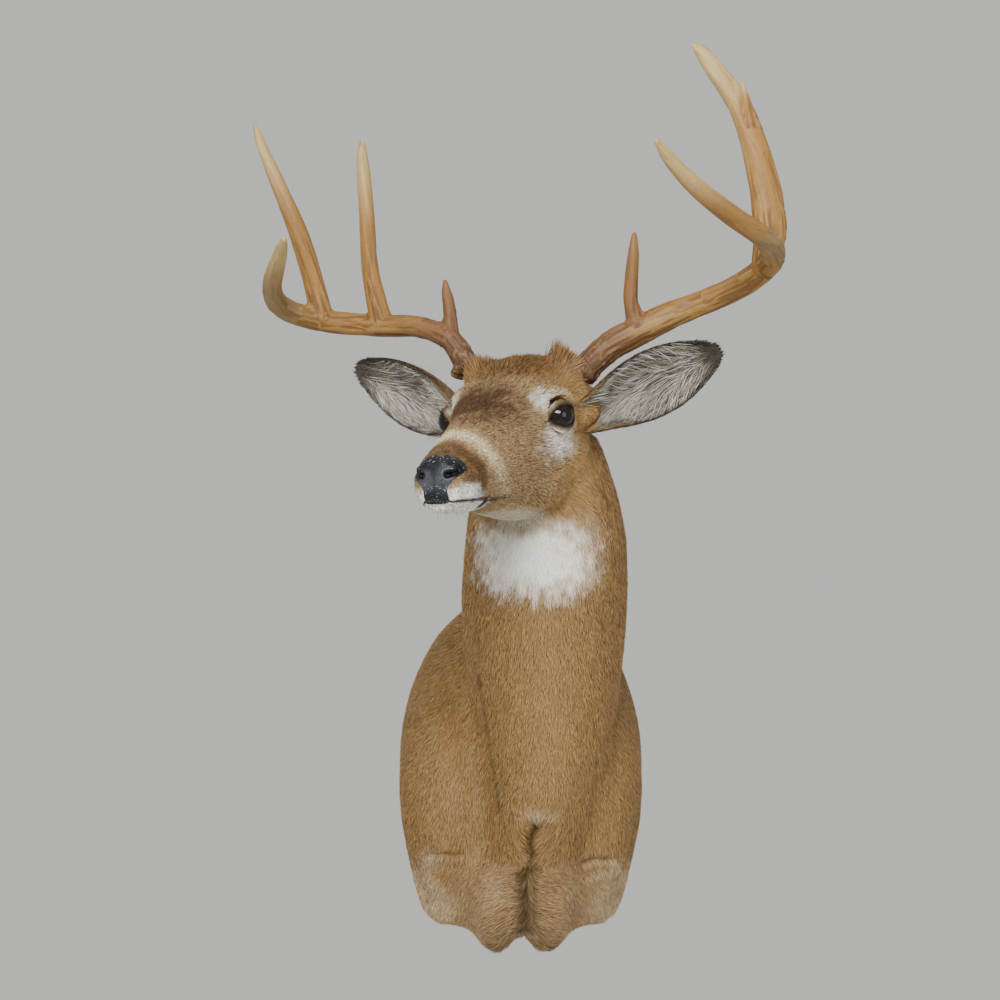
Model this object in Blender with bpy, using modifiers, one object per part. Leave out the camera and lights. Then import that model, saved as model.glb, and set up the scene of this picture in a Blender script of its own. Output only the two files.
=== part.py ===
"""A whitetail buck shoulder mount for a wall, at life size.

The back of the mount lies in the plane Y = 0, against the wall, and the buck looks towards -Y.
+X is the buck's left and +Z is up.  The origin is in the board's back face, on its middle line
and 15.5 mm below its mid height.
Sizes are in metres.  The flesh is built from lofts and ellipsoids that a voxel remesh fuses into
one smooth body, which thin cuts then part into trunk, neck, head and jaw.
"""

import math

import bmesh
import bpy
import numpy as np
from mathutils import Matrix, Vector

# ---------------------------------------------------------------- driving dimensions
MM = 0.001
GAP = 0.3 * MM  # between neighbouring pieces
TAU = 2 * math.pi

# The shoulders: an egg outline against the wall, made of two half ellipses.
SHOULDER_HALF_WIDTH = 140 * MM
SHOULDER_HEIGHT_OF_WIDEST = 3 * MM
SHOULDER_RISE = 200 * MM  # from the widest level to the withers
SHOULDER_DROP = 288 * MM  # ... and to where the lower half ellipse would close
TRUNK_BOTTOM = -172 * MM

# The board let into the back.
BOARD_THICKNESS = 18 * MM
BOARD_INSET = 24 * MM

# The head's place and turn.  Its own frame has the eyes' mid-point as origin, x to the buck's
# left, y backwards and z up, so that forward distances are written as minus y.
HEAD_ORIGIN = Vector((-18 * MM, -330 * MM, 389 * MM))
HEAD_YAW = math.radians(-23)
HEAD_PITCH = math.radians(4)
HEAD_ROLL = math.radians(-2)
HEAD = (
    Matrix.Translation(HEAD_ORIGIN)
    @ Matrix.Rotation(HEAD_YAW, 4, "Z")
    @ Matrix.Rotation(HEAD_PITCH, 4, "X")
    @ Matrix.Rotation(HEAD_ROLL, 4, "Y")
)

# The eyes.
EYE_RADIUS = 17 * MM
EYE_CENTRE = Vector((53 * MM, 1 * MM, -4 * MM))
EYE_TURN = 27  # degrees that the eyes look forward of straight sideways
EYE_OPENING_REACH = 14 * MM  # from an eye's centre to the middle of its opening
EYE_OPENING_SIZE = Vector((12 * MM, 18 * MM, 12.5 * MM))

# Resolution.
FLESH_VOXEL = 3.5 * MM
BODY_SMOOTHING = 110
HEAD_SMOOTHING = 8
FLESH_SMOOTHING = 5
FLESH_TRIANGLES = 3500
ANTLER_VOXEL = 2.0 * MM
ANTLER_SMOOTHING = 4
ANTLER_TRIANGLES = 960

COLOURS = {
    "coat_tan": ((0.30, 0.185, 0.085), 0.9),
    "coat_face": ((0.22, 0.14, 0.075), 0.9),
    "coat_white": ((0.75, 0.70, 0.62), 0.9),
    "ear_fur": ((0.42, 0.36, 0.29), 0.9),
    "nose_leather": ((0.02, 0.021, 0.023), 0.4),
    "eye_glass": ((0.006, 0.005, 0.005), 0.05),
    "antler_bone": ((0.36, 0.22, 0.09), 0.55),
    "plywood": ((0.55, 0.39, 0.22), 0.8),
}


# ---------------------------------------------------------------- small tools
def clear_scene():
    for obj in list(bpy.data.objects):
        bpy.data.objects.remove(obj, do_unlink=True)


def collection(name):
    made = bpy.data.collections.new(name)
    bpy.context.scene.collection.children.link(made)
    return made


def material(name, look):
    """A piece's own material, in one of the looks above."""
    colour, roughness = COLOURS[look]
    made = bpy.data.materials.new(name)
    made.use_nodes = True
    shader = made.node_tree.nodes["Principled BSDF"]
    shader.inputs["Base Color"].default_value = (*colour, 1)
    shader.inputs["Roughness"].default_value = roughness
    made.diffuse_color = (*colour, 1)
    return made


def along(stations, at):
    """A smooth curve through (place, value) stations, read at one or many places."""
    place, value = (np.array(column, float) for column in zip(*sorted(stations)))
    slope = np.gradient(value, place)
    at = np.clip(np.asarray(at, float), place[0], place[-1])
    k = np.clip(np.searchsorted(place, at) - 1, 0, len(place) - 2)
    span = place[k + 1] - place[k]
    t = (at - place[k]) / span
    return (
        value[k] * (1 + 2 * t) * (1 - t) ** 2
        + slope[k] * span * t * (1 - t) ** 2
        + value[k + 1] * t * t * (3 - 2 * t)
        + slope[k + 1] * span * t * t * (t - 1)
    )


def add_mesh(name, mesh, into):
    obj = bpy.data.objects.new(name, mesh)
    into.objects.link(obj)
    return obj


def loft(name, rings, into):
    """A closed skin through rings of points, with flat ends."""
    bm = bmesh.new()
    rows = [[bm.verts.new(point) for point in ring] for ring in rings]
    count = len(rows[0])
    for low, high in zip(rows, rows[1:]):
        for i in range(count):
            j = (i + 1) % count
            bm.faces.new((low[i], low[j], high[j], high[i]))
    bm.faces.new(reversed(rows[0]))
    bm.faces.new(rows[-1])
    bmesh.ops.recalc_face_normals(bm, faces=bm.faces)
    mesh = bpy.data.meshes.new(name)
    bm.to_mesh(mesh)
    bm.free()
    return add_mesh(name, mesh, into)


def ellipsoid(name, centre, half_sizes, into, frame=None, turn=(0, 0, 0)):
    bm = bmesh.new()
    bmesh.ops.create_uvsphere(bm, u_segments=16, v_segments=10, radius=1)
    place = Matrix.Translation(centre)
    for angle, axis in zip(turn, "XYZ"):
        place = place @ Matrix.Rotation(math.radians(angle), 4, axis)
    place = place @ Matrix.Diagonal((*half_sizes, 1))
    bm.transform((frame or Matrix()) @ place)
    mesh = bpy.data.meshes.new(name)
    bm.to_mesh(mesh)
    bm.free()
    return add_mesh(name, mesh, into)


def evaluated_mesh(obj):
    bpy.context.view_layer.update()
    graph = bpy.context.evaluated_depsgraph_get()
    return bpy.data.meshes.new_from_object(obj.evaluated_get(graph))


def apply_modifiers(obj):
    mesh = evaluated_mesh(obj)
    old = obj.data
    obj.modifiers.clear()
    obj.data = mesh
    bpy.data.meshes.remove(old)
    return obj


def join_meshes(name, objects, into):
    """One object holding copies of all these meshes, still separate bodies."""
    bm = bmesh.new()
    for obj in objects:
        mesh = evaluated_mesh(obj)
        mesh.transform(obj.matrix_world)
        bm.from_mesh(mesh)
        bpy.data.meshes.remove(mesh)
    mesh = bpy.data.meshes.new(name)
    bm.to_mesh(mesh)
    bm.free()
    for obj in objects:
        bpy.data.objects.remove(obj, do_unlink=True)
    return add_mesh(name, mesh, into)


def fuse(name, objects, voxel, smoothing, triangles, into):
    """Overlapping bodies become one, with the corners between them softened."""
    obj = join_meshes(name, objects, into)
    remesh = obj.modifiers.new("fuse", "REMESH")
    remesh.mode = "VOXEL"
    remesh.voxel_size = voxel
    smooth = obj.modifiers.new("soften", "SMOOTH")
    smooth.factor = 0.5
    smooth.iterations = smoothing
    apply_modifiers(obj)
    if triangles is None:
        return obj
    faces = 2 * len(obj.data.polygons)
    fewer = obj.modifiers.new("fewer", "DECIMATE")
    fewer.ratio = min(1.0, triangles / faces)
    return apply_modifiers(obj)


def boolean(obj, cutter, operation):
    cut = obj.modifiers.new(operation, "BOOLEAN")
    cut.operation = operation
    cut.object = cutter
    cut.solver = "EXACT"
    return apply_modifiers(obj)


def copy_of(obj, name, into):
    return add_mesh(name, obj.data.copy(), into)


def grown(obj, name, by, into):
    """A copy swollen by a hair, to cut a neighbour with a gap."""
    made = copy_of(obj, name, into)
    swell = made.modifiers.new("swell", "DISPLACE")
    swell.strength = by
    swell.mid_level = 0
    return apply_modifiers(made)


def block(name, frame, low, high, into):
    """A box with corners low and high in a frame."""
    bm = bmesh.new()
    bmesh.ops.create_cube(bm, size=1)
    low, high = Vector(low), Vector(high)
    size = Matrix.Diagonal((*(high - low), 1))
    bm.transform(frame @ Matrix.Translation((low + high) / 2) @ size)
    mesh = bpy.data.meshes.new(name)
    bm.to_mesh(mesh)
    bm.free()
    return add_mesh(name, mesh, into)


def discard(*objects):
    for obj in objects:
        bpy.data.objects.remove(obj, do_unlink=True)


# ---------------------------------------------------------------- trunk and neck
def egg_half_width(z, inset=0.0):
    """Half the width of the shoulders' outline at a height."""
    up = z >= SHOULDER_HEIGHT_OF_WIDEST
    reach = (SHOULDER_RISE if up else SHOULDER_DROP) - inset
    rise = (z - SHOULDER_HEIGHT_OF_WIDEST) / reach
    return (SHOULDER_HALF_WIDTH - inset) * math.sqrt(max(0.0, 1 - rise * rise))


def shoulder_loft(into):
    """Level sections of the shoulders, each an ellipse whose back half runs into the wall."""
    middle = 45 * MM  # how far the widest part stands off the wall
    depth = [(-200, 95), (-150, 118), (-80, 135), (0, 140), (90, 128), (160, 90), (200, 40)]
    rings = []
    top = SHOULDER_HEIGHT_OF_WIDEST + SHOULDER_RISE - 1 * MM
    for z in np.linspace(TRUNK_BOTTOM, top, 30):
        half = egg_half_width(z)
        reach = float(along(depth, z / MM)) * MM
        angles = np.linspace(0, TAU, 48, endpoint=False)
        rings.append(
            [(half * math.cos(a), -middle + reach * math.sin(a), z) for a in angles]
        )
    return loft("shoulder_mass", rings, into)


# The neck and the breast below it, as level sections: height, middle across, half width,
# front and back, all in mm.
NECK_SECTIONS = [
    (-165, 3, 44, -186, -60),
    (-125, 10, 52, -214, -60),
    (-80, 16, 58, -234, -50),
    (-30, 22, 65, -250, -35),
    (40, 26, 74, -264, -20),
    (110, 25, 85, -280, -8),
    (170, 25, 91, -296, -4),
    (220, 25, 91, -306, -28),
    (260, 26, 88, -312, -74),
    (300, 24, 81, -317, -116),
    (340, 21, 71, -314, -158),
    (375, 19, 61, -300, -196),
]


def neck_loft(into):
    heights = [row[0] for row in NECK_SECTIONS]
    columns = list(zip(*NECK_SECTIONS))
    read = [list(zip(heights, column)) for column in columns[1:]]
    rings = []
    for z in np.linspace(heights[0], heights[-1], 34):
        middle, half, front, back = (float(along(line, z)) * MM for line in read)
        centre = (front + back) / 2
        reach = (back - front) / 2
        angles = np.linspace(0, TAU, 40, endpoint=False)
        rings.append(
            [
                (middle + half * math.cos(a), centre + reach * math.sin(a), z * MM)
                for a in angles
            ]
        )
    return loft("neck_mass", rings, into)


def breast_forms(into):
    """The shoulders beside the neck, the brisket's two lobes and the foreleg stumps."""
    chest = ((2 * MM, -92 * MM, -20 * MM), (124 * MM, 102 * MM, 142 * MM))
    made = [ellipsoid("chest", *chest, into)]
    for side in (-1, 1):
        made += [
            ellipsoid(
                f"brisket_{side}",
                (side * 30 * MM, -138 * MM, -128 * MM),
                (33 * MM, 72 * MM, 70 * MM),
                into,
                turn=(-12, side * 3, 0),
            ),
            ellipsoid(
                f"stump_{side}",
                (side * 92 * MM, -62 * MM, -120 * MM),
                (23 * MM, 62 * MM, 64 * MM),
                into,
                turn=(0, side * 6, 0),
            ),
            ellipsoid(
                f"shoulder_{side}",
                (side * 80 * MM, -98 * MM, -14 * MM),
                (58 * MM, 96 * MM, 132 * MM),
                into,
                turn=(-8, 0, side * -6),
            ),
        ]
    return made


# ---------------------------------------------------------------- head
# Stations along the head, from the nose back: forward distance from the eyes, top line,
# bottom line, half width and the level of the widest part, all in mm.
HEAD_STATIONS = [
    (178, -47, -71, 13, -58),
    (174, -39, -82, 22, -58),
    (164, -32, -89, 27, -57),
    (148, -26, -92, 29, -57),
    (125, -15, -92, 30, -54),
    (100, -3, -92, 32, -48),
    (70, 12, -97, 37, -38),
    (40, 26, -103, 46, -24),
    (10, 39, -108, 57, -10),
    (-20, 49, -110, 63, -2),
    (-50, 57, -104, 61, -4),
    (-80, 55, -88, 55, -4),
    (-105, 42, -64, 44, -6),
    (-122, 22, -36, 26, -7),
]


def head_section(forward, count=40):
    """One ring of the head in its own frame."""
    places = [row[0] for row in HEAD_STATIONS]
    top, bottom, half, level = (
        float(along(list(zip(places, column)), forward)) * MM
        for column in list(zip(*HEAD_STATIONS))[1:]
    )
    upper, lower = 2.2, 2.0  # how square the section is above and below its widest level
    ring = []
    for a in np.linspace(0, TAU, count, endpoint=False):
        c, s = math.cos(a), math.sin(a)
        power = 2 / (upper if s > 0 else lower)
        reach = top - level if s > 0 else level - bottom
        x = half * math.copysign(abs(c) ** power, c)
        z = level + reach * math.copysign(abs(s) ** power, s)
        ring.append(HEAD @ Vector((x, -forward * MM, z)))
    return ring


def head_forms(into):
    places = np.concatenate(
        [np.linspace(178, 150, 7), np.linspace(140, -100, 25), np.linspace(-106, -122, 4)]
    )
    made = [loft("head_mass", [head_section(p) for p in places], into)]
    for side in (-1, 1):
        made += [
            ellipsoid(  # the brow over the eye
                f"brow_{side}",
                (side * 45 * MM, 6 * MM, 15 * MM),
                (17 * MM, 26 * MM, 13 * MM),
                into,
                HEAD,
                (0, side * 30, side * -24),
            ),
            ellipsoid(  # the chewing muscle on the jaw
                f"cheek_{side}",
                (side * 36 * MM, 22 * MM, -58 * MM),
                (20 * MM, 44 * MM, 40 * MM),
                into,
                HEAD,
            ),
            ellipsoid(  # the wing of the nostril
                f"nostril_wing_{side}",
                (side * 15 * MM, -164 * MM, -51 * MM),
                (11 * MM, 14 * MM, 12 * MM),
                into,
                HEAD,
            ),
            ellipsoid(  # the pedicle under the antler
                f"pedicle_{side}",
                (side * 47 * MM, 54 * MM, 36 * MM),
                (20 * MM, 20 * MM, 22 * MM),
                into,
                HEAD,
            ),
            ellipsoid(  # the ear's root
                f"ear_root_{side}",
                (side * 54 * MM, 66 * MM, 2 * MM),
                (27 * MM, 22 * MM, 27 * MM),
                into,
                HEAD,
                (0, side * -20, 0),
            ),
            ellipsoid(  # behind the jaw, where the head runs into the neck
                f"jowl_{side}",
                (side * 36 * MM, 62 * MM, -48 * MM),
                (30 * MM, 46 * MM, 46 * MM),
                into,
                HEAD,
            ),
        ]
    return made


# ---------------------------------------------------------------- ears
# Stations along an ear from root to tip: fraction of the length, width laid flat (mm), and the
# arc that the width is rolled into (degrees).
EAR_STATIONS = [
    (0.0, 62, 250),
    (0.15, 78, 215),
    (0.3, 90, 175),
    (0.5, 92, 140),
    (0.7, 78, 118),
    (0.85, 54, 100),
    (0.95, 30, 85),
    (1.0, 12, 75),
]
EAR_THICKNESS = 3.2 * MM
EAR_LENGTH = 157 * MM
# For each side: root in the head's frame, direction of the tip, direction the cup faces.
EARS = {
    1: (Vector((56, 62, -12)), Vector((0.88, 0.21, 0.39)), Vector((0.25, -0.9, -0.05))),
    -1: (Vector((-56, 62, -12)), Vector((-0.92, 0.06, 0.45)), Vector((-0.35, -0.85, -0.1))),
}


def ear(name, side, into):
    """A leaf of skin rolled into a cup, narrow and nearly closed at its root."""
    root, reach, facing = EARS[side]
    along_ear = (HEAD.to_3x3() @ reach).normalized()
    facing = HEAD.to_3x3() @ facing
    facing = (facing - along_ear * facing.dot(along_ear)).normalized()
    across = along_ear.cross(facing)
    root = HEAD @ (root * MM)
    widths = [(row[0], row[1]) for row in EAR_STATIONS]
    arcs = [(row[0], row[2]) for row in EAR_STATIONS]
    bend = 14 * MM  # how far the middle of the ear's back bows out behind
    bm = bmesh.new()
    rows = []
    for u in np.linspace(0, 1, 12):
        width = float(along(widths, u)) * MM
        arc = math.radians(float(along(arcs, u)))
        radius = width / arc
        spine = root + along_ear * EAR_LENGTH * u - facing * bend * 4 * u * (1 - u)
        row = []
        for v in np.linspace(-0.5, 0.5, 9):
            turn = arc * v
            out = radius * math.sin(turn)
            rise = radius * (1 - math.cos(turn))
            row.append(bm.verts.new(spine + across * out + facing * rise))
        rows.append(row)
    for low, high in zip(rows, rows[1:]):
        for i in range(len(low) - 1):
            bm.faces.new((low[i], high[i], high[i + 1], low[i + 1]))
    mesh = bpy.data.meshes.new(name)
    bm.to_mesh(mesh)
    bm.free()
    obj = add_mesh(name, mesh, into)
    thick = obj.modifiers.new("thick", "SOLIDIFY")
    thick.thickness = EAR_THICKNESS
    thick.offset = 0
    return apply_modifiers(obj)


# ---------------------------------------------------------------- antlers
# Beams and tines as stations x, y, z and radius, in mm.
LEFT_BEAM = [
    (57, -293, 424, 13.5),
    (69, -298, 440, 14.3),
    (86, -301, 456, 15),
    (120, -303, 474, 15.2),
    (150, -307, 489, 13.8),
    (184, -313, 502, 12.4),
    (222, -336, 519, 12.4),
    (238, -355, 531, 12.5),
    (244, -380, 540, 12),
    (235, -410, 549, 11),
    (192, -463, 569, 9.8),
    (142, -516, 599, 7.7),
    (126, -534, 613, 5.9),
    (115, -547, 625, 2.7),
]
LEFT_BROW = [
    (117, -303, 478, 11),
    (110, -305, 498, 8.1),
    (110, -308, 530, 7),
    (112, -311, 560, 5),
    (112, -312, 573, 2.5),
]
LEFT_TINE = [
    (237, -358, 531, 12.8),
    (242, -362, 560, 16.7),
    (241, -362, 587, 16.7),
    (231, -356, 642, 14.3),
    (213, -348, 695, 11.4),
    (186, -343, 735, 8.9),
    (175, -341, 750, 6.5),
    (168, -340, 757, 3),
]
LEFT_KICKER = [
    (223, -352, 668, 7.9),
    (221, -355, 690, 5.4),
    (215, -358, 718, 1.8),
]
RIGHT_BEAM = [
    (-53, -252, 432, 13),
    (-64, -246, 454, 12.5),
    (-77, -238, 471, 12),
    (-102, -224, 483, 11.4),
    (-153, -196, 488, 12),
    (-216, -180, 495, 12.3),
    (-241, -190, 501, 12.3),
    (-257, -214, 509, 11.6),
    (-260, -248, 520, 10.4),
    (-253, -290, 534, 9.5),
    (-243, -330, 547, 7.5),
    (-235, -364, 560, 3.1),
]
RIGHT_BROW = [
    (-75, -238, 474, 9.4),
    (-75, -238, 494, 7.3),
    (-79, -240, 520, 5.4),
    (-81, -240, 533, 2.3),
]
RIGHT_SECOND = [
    (-149, -197, 488, 12.8),
    (-154, -199, 511, 11.2),
    (-160, -202, 540, 9.6),
    (-165, -210, 614, 7.8),
    (-169, -215, 672, 4.8),
    (-169, -216, 684, 2.3),
]
RIGHT_THIRD = [
    (-214, -181, 495, 12.9),
    (-219, -182, 519, 11.3),
    (-236, -187, 580, 10.7),
    (-263, -193, 646, 7.5),
    (-282, -197, 694, 4),
    (-285, -198, 706, 2.1),
]


def tube(name, stations, into, flatten=1.0):
    """A round tapering horn through its stations; flatten squeezes it from front to back."""
    points = np.array(stations, float) * MM
    steps = np.linalg.norm(np.diff(points[:, :3], axis=0), axis=1)
    place = np.concatenate([[0], np.cumsum(steps)])
    at = np.linspace(0, place[-1], max(6, int(place[-1] / (9 * MM))))
    x, y, z, radius = (along(list(zip(place, column)), at) for column in points.T)
    path = np.stack([x, y, z], axis=1)
    heading = np.gradient(path, axis=0)
    heading /= np.linalg.norm(heading, axis=1)[:, None]
    rings = []
    for centre, way, r in zip(path, heading, radius):
        way = Vector(way)
        depth = (Vector((0, 1, 0)) - way * way.y).normalized()
        side = way.cross(depth)
        rings.append(
            [
                Vector(centre)
                + side * r * math.cos(a)
                + depth * r * flatten * math.sin(a)
                for a in np.linspace(0, TAU, 18, endpoint=False)
            ]
        )
    return loft(name, rings, into)


def burr(name, centre, way, into):
    """The rough crown that an antler stands on."""
    turn = Vector(way).to_track_quat("Z", "Y").to_matrix().to_4x4()
    frame = Matrix.Translation(Vector(centre) * MM) @ turn
    return ellipsoid(name, (0, 0, 0), (18 * MM, 18 * MM, 8 * MM), into, frame)


SIDEWAYS = (1, 0, 0)


def slab(name, centre, way, across, half, into):
    """A saw cut: a sheet as thick as the gap, square to the way given."""
    way = Vector(way).normalized()
    across = Vector(across)
    across = (across - way * across.dot(way)).normalized()
    frame = Matrix((across, way.cross(across), way)).transposed().to_4x4()
    frame.translation = Vector(centre) * MM
    reach = Vector((half[0] * MM, half[1] * MM, GAP / 2))
    return block(name, frame, -reach, reach, into)


def saw(whole, cuts, names, into):
    """Cuts a body with slabs, then makes an object of each piece, named by a point in it."""
    for number, cut in enumerate(cuts):
        cutter = slab(f"cut_{number}", *cut, into)
        boolean(whole, cutter, "DIFFERENCE")
        discard(cutter)
    bm = bmesh.new()
    bm.from_mesh(whole.data)
    islands = []
    waiting = set(bm.verts)
    while waiting:
        found = {waiting.pop()}
        edge = list(found)
        while edge:
            near = {e.other_vert(v) for v in edge for e in v.link_edges} - found
            found |= near
            edge = list(near)
        waiting -= found
        islands.append(found)
    middles = [
        sum((v.co for v in island), Vector()) / len(island) for island in islands
    ]
    made = {}
    for name, point in names.items():
        point = Vector(point) * MM
        order = sorted(range(len(islands)), key=lambda i: (middles[i] - point).length)
        keep = islands[order[0]]
        copy = bmesh.new()
        mesh = whole.data.copy()
        copy.from_mesh(mesh)
        copy.verts.ensure_lookup_table()
        kept = {v.index for v in keep}
        away = [v for v in copy.verts if v.index not in kept]
        bmesh.ops.delete(copy, geom=away, context="VERTS")
        copy.to_mesh(mesh)
        copy.free()
        made[name] = add_mesh(name, mesh, into)
    print(whole.name, "pieces", len(islands), "named", len(names))
    bm.free()
    discard(whole)
    return made


def antlers(into):
    left = [
        tube("left_beam", LEFT_BEAM, into),
        tube("left_brow", LEFT_BROW, into),
        tube("left_tine", LEFT_TINE, into, flatten=0.72),
        tube("left_kicker", LEFT_KICKER, into),
        burr("left_burr", (62, -297, 434), (20, -4, 22), into),
    ]
    right = [
        tube("right_beam", RIGHT_BEAM, into),
        tube("right_brow", RIGHT_BROW, into),
        tube("right_second", RIGHT_SECOND, into),
        tube("right_third", RIGHT_THIRD, into),
        burr("right_burr", (-59, -249, 440), (-15, 5, 22), into),
    ]
    made = {}
    whole = fuse(
        "left_antler", left, ANTLER_VOXEL, ANTLER_SMOOTHING, ANTLER_TRIANGLES, into
    )
    made |= saw(
        whole,
        [
            ((112, -304, 497), (-4, -1, 20), SIDEWAYS, (16, 16)),
            ((236, -346, 525), (22, -24, 12), SIDEWAYS, (26, 26)),
            ((242, -361, 556), (1, -1, 24), SIDEWAYS, (27, 27)),
        ],
        {
            "antler_left_base": (140, -309, 487),
            "antler_left_brow_tine": (111, -308, 530),
            "antler_left_beam": (190, -455, 575),
            "antler_left_tine": (225, -354, 650),
        },
        into,
    )
    whole = fuse(
        "right_antler", right, ANTLER_VOXEL, ANTLER_SMOOTHING, ANTLER_TRIANGLES, into
    )
    made |= saw(
        whole,
        [
            ((-75, -238, 492), (0, 0, 20), SIDEWAYS, (14, 14)),
            ((-153, -199, 508), (-4, -2, 22), SIDEWAYS, (18, 18)),
            ((-218, -182, 514), (-4, -1, 22), SIDEWAYS, (19, 19)),
            ((-228, -184, 498), (-25, -8, 5), (0, 1, 0), (26, 26)),
        ],
        {
            "antler_right_base": (-140, -205, 485),
            "antler_right_brow_tine": (-78, -239, 512),
            "antler_right_second_tine": (-162, -208, 600),
            "antler_right_third_tine": (-245, -190, 600),
            "antler_right_beam": (-250, -270, 530),
        },
        into,
    )
    return made


# ---------------------------------------------------------------- the mount
def eyeball(name, side, radius, into):
    centre = Vector((side * EYE_CENTRE.x, EYE_CENTRE.y, EYE_CENTRE.z))
    return ellipsoid(name, centre, (radius,) * 3, into, HEAD)


def board_outline(inset):
    """Points round the board, the shoulders' own outline drawn in by an inset."""
    low = TRUNK_BOTTOM + inset
    high = SHOULDER_HEIGHT_OF_WIDEST + SHOULDER_RISE - inset
    rise = [low + (high - low) * (1 - math.cos(math.pi * t)) / 2 for t in np.linspace(0, 1, 17)]
    right = [(egg_half_width(z, inset), z) for z in rise]
    right = [(x, z) for x, z in right if x > 1 * MM]
    return right + [(-x, z) for x, z in reversed(right)]


def board(name, inset, front, into):
    """The board's outline from the wall plane to its front."""
    points = board_outline(inset)
    rings = [[(x, y, z) for x, z in points] for y in (0.0, -front)]
    return loft(name, rings, into)


def smooth_shade(obj):
    obj.data.polygons.foreach_set("use_smooth", [True] * len(obj.data.polygons))


def head_point(x, y, z):
    """A point of the head's frame in world millimetres."""
    return tuple(HEAD @ (Vector((x, y, z)) * MM) / MM)


def head_way(x, y, z):
    return tuple(HEAD.to_3x3() @ Vector((x, y, z)))


def largest_only(obj):
    """Drops chips that a cut has left, keeping the biggest body."""
    bm = bmesh.new()
    bm.from_mesh(obj.data)
    waiting = set(bm.verts)
    best = set()
    while waiting:
        found = {waiting.pop()}
        edge = list(found)
        while edge:
            near = {e.other_vert(v) for v in edge for e in v.link_edges} - found
            found |= near
            edge = list(near)
        waiting -= found
        best = max(best, found, key=len)
    bmesh.ops.delete(bm, geom=[v for v in bm.verts if v not in best], context="VERTS")
    bm.to_mesh(obj.data)
    bm.free()
    return obj


def body_pieces(work):
    """The fused flesh, hollowed for the eyes and the board."""
    torso = [shoulder_loft(work), neck_loft(work), *breast_forms(work)]
    torso = fuse("torso", torso, FLESH_VOXEL, BODY_SMOOTHING, None, work)
    skull = fuse("skull", head_forms(work), FLESH_VOXEL, HEAD_SMOOTHING, None, work)
    flesh = [torso, skull]
    body = fuse("body", flesh, FLESH_VOXEL, FLESH_SMOOTHING, FLESH_TRIANGLES, work)
    cutters = [
        block("wall_side", Matrix(), (-1, 0, -1), (1, 1, 1), work),
        board("board_seat", BOARD_INSET - GAP, BOARD_THICKNESS + GAP, work),
    ]
    for side in (-1, 1):
        turn = side * EYE_TURN
        way = Vector((side, -math.tan(math.radians(EYE_TURN)), 0)).normalized()
        centre = Vector((side * EYE_CENTRE.x, EYE_CENTRE.y, EYE_CENTRE.z))
        centre += way * EYE_OPENING_REACH
        size = EYE_OPENING_SIZE
        cutters.append(
            ellipsoid("eye_opening", centre, size, work, HEAD, (0, 0, -turn))
        )
        cutters.append(eyeball("eye_socket", side, EYE_RADIUS + GAP, work))
    for cutter in cutters:
        boolean(body, cutter, "DIFFERENCE")
    discard(*cutters)
    return body


HEAD_SIDEWAYS = head_way(1, 0, 0)
BODY_CUTS = [
    ((0, -145, 137), (0, -0.559, 0.829), SIDEWAYS, (230, 200)),
    ((20, -240, 340), (0.1, -0.66, 0.745), SIDEWAYS, (130, 130)),
    (head_point(0, -104, -50), head_way(0, 1, 0), HEAD_SIDEWAYS, (60, 60)),
    (head_point(0, -150, -77.5), head_way(0, 0, 1), HEAD_SIDEWAYS, (50, 46.1)),
    (head_point(0, -169, -50), head_way(0, 1, 0.1), HEAD_SIDEWAYS, (34, 27.6)),
]
BODY_NAMES = {
    "trunk": (0, -90, -20),
    "neck": (20, -180, 230),
    "head": head_point(0, 10, -20),
    "muzzle": head_point(0, -140, -50),
    "nose_pad": head_point(0, -174, -58),
    "lower_jaw": head_point(0, -140, -85),
}
# The look of each piece whose look isn't the coat's tan.
LOOKS = {
    "head": "coat_face",
    "muzzle": "coat_face",
    "lower_jaw": "coat_white",
    "nose_pad": "nose_leather",
    "ear_left": "ear_fur",
    "ear_right": "ear_fur",
    "eye_left": "eye_glass",
    "eye_right": "eye_glass",
    "back_board": "plywood",
}


def look_of(name):
    return "antler_bone" if name.startswith("antler") else LOOKS.get(name, "coat_tan")


def build():
    clear_scene()
    work = collection("construction")
    mount = collection("whitetail_shoulder_mount")
    body = body_pieces(work)
    ears = {}
    for side, word in ((1, "left"), (-1, "right")):
        ears[f"ear_{word}"] = ear(f"ear_{word}", side, work)
    horns = antlers(work)
    skin = grown(body, "skin", GAP, work)
    for name in ("ear_left", "ear_right"):
        largest_only(boolean(ears[name], skin, "DIFFERENCE"))
    for name in ("antler_left_base", "antler_right_base"):
        largest_only(boolean(horns[name], skin, "DIFFERENCE"))
    discard(skin)
    pieces = saw(body, BODY_CUTS, BODY_NAMES, work)
    pieces |= ears
    pieces |= horns
    for side, word in ((1, "left"), (-1, "right")):
        name = f"eye_{word}"
        pieces[name] = eyeball(name, side, EYE_RADIUS, work)
    pieces["back_board"] = board("back_board", BOARD_INSET, BOARD_THICKNESS, work)
    for name, piece in pieces.items():
        mount.objects.link(piece)
        work.objects.unlink(piece)
        piece.data.materials.clear()
        piece.data.materials.append(material(name, look_of(name)))
        if name != "back_board":
            smooth_shade(piece)


build()
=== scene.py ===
# %% [markdown]
# # Dressing a whitetail shoulder mount
#
# A shoulder mount is a tanned deer skin glued over a carved foam form, with glass eyes, rebuilt
# lids and nose, the buck's own antlers, and a board let into the back. The plain solids of the
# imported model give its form. This lesson puts the skin, the coat, the eyes and the horn on them.

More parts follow.
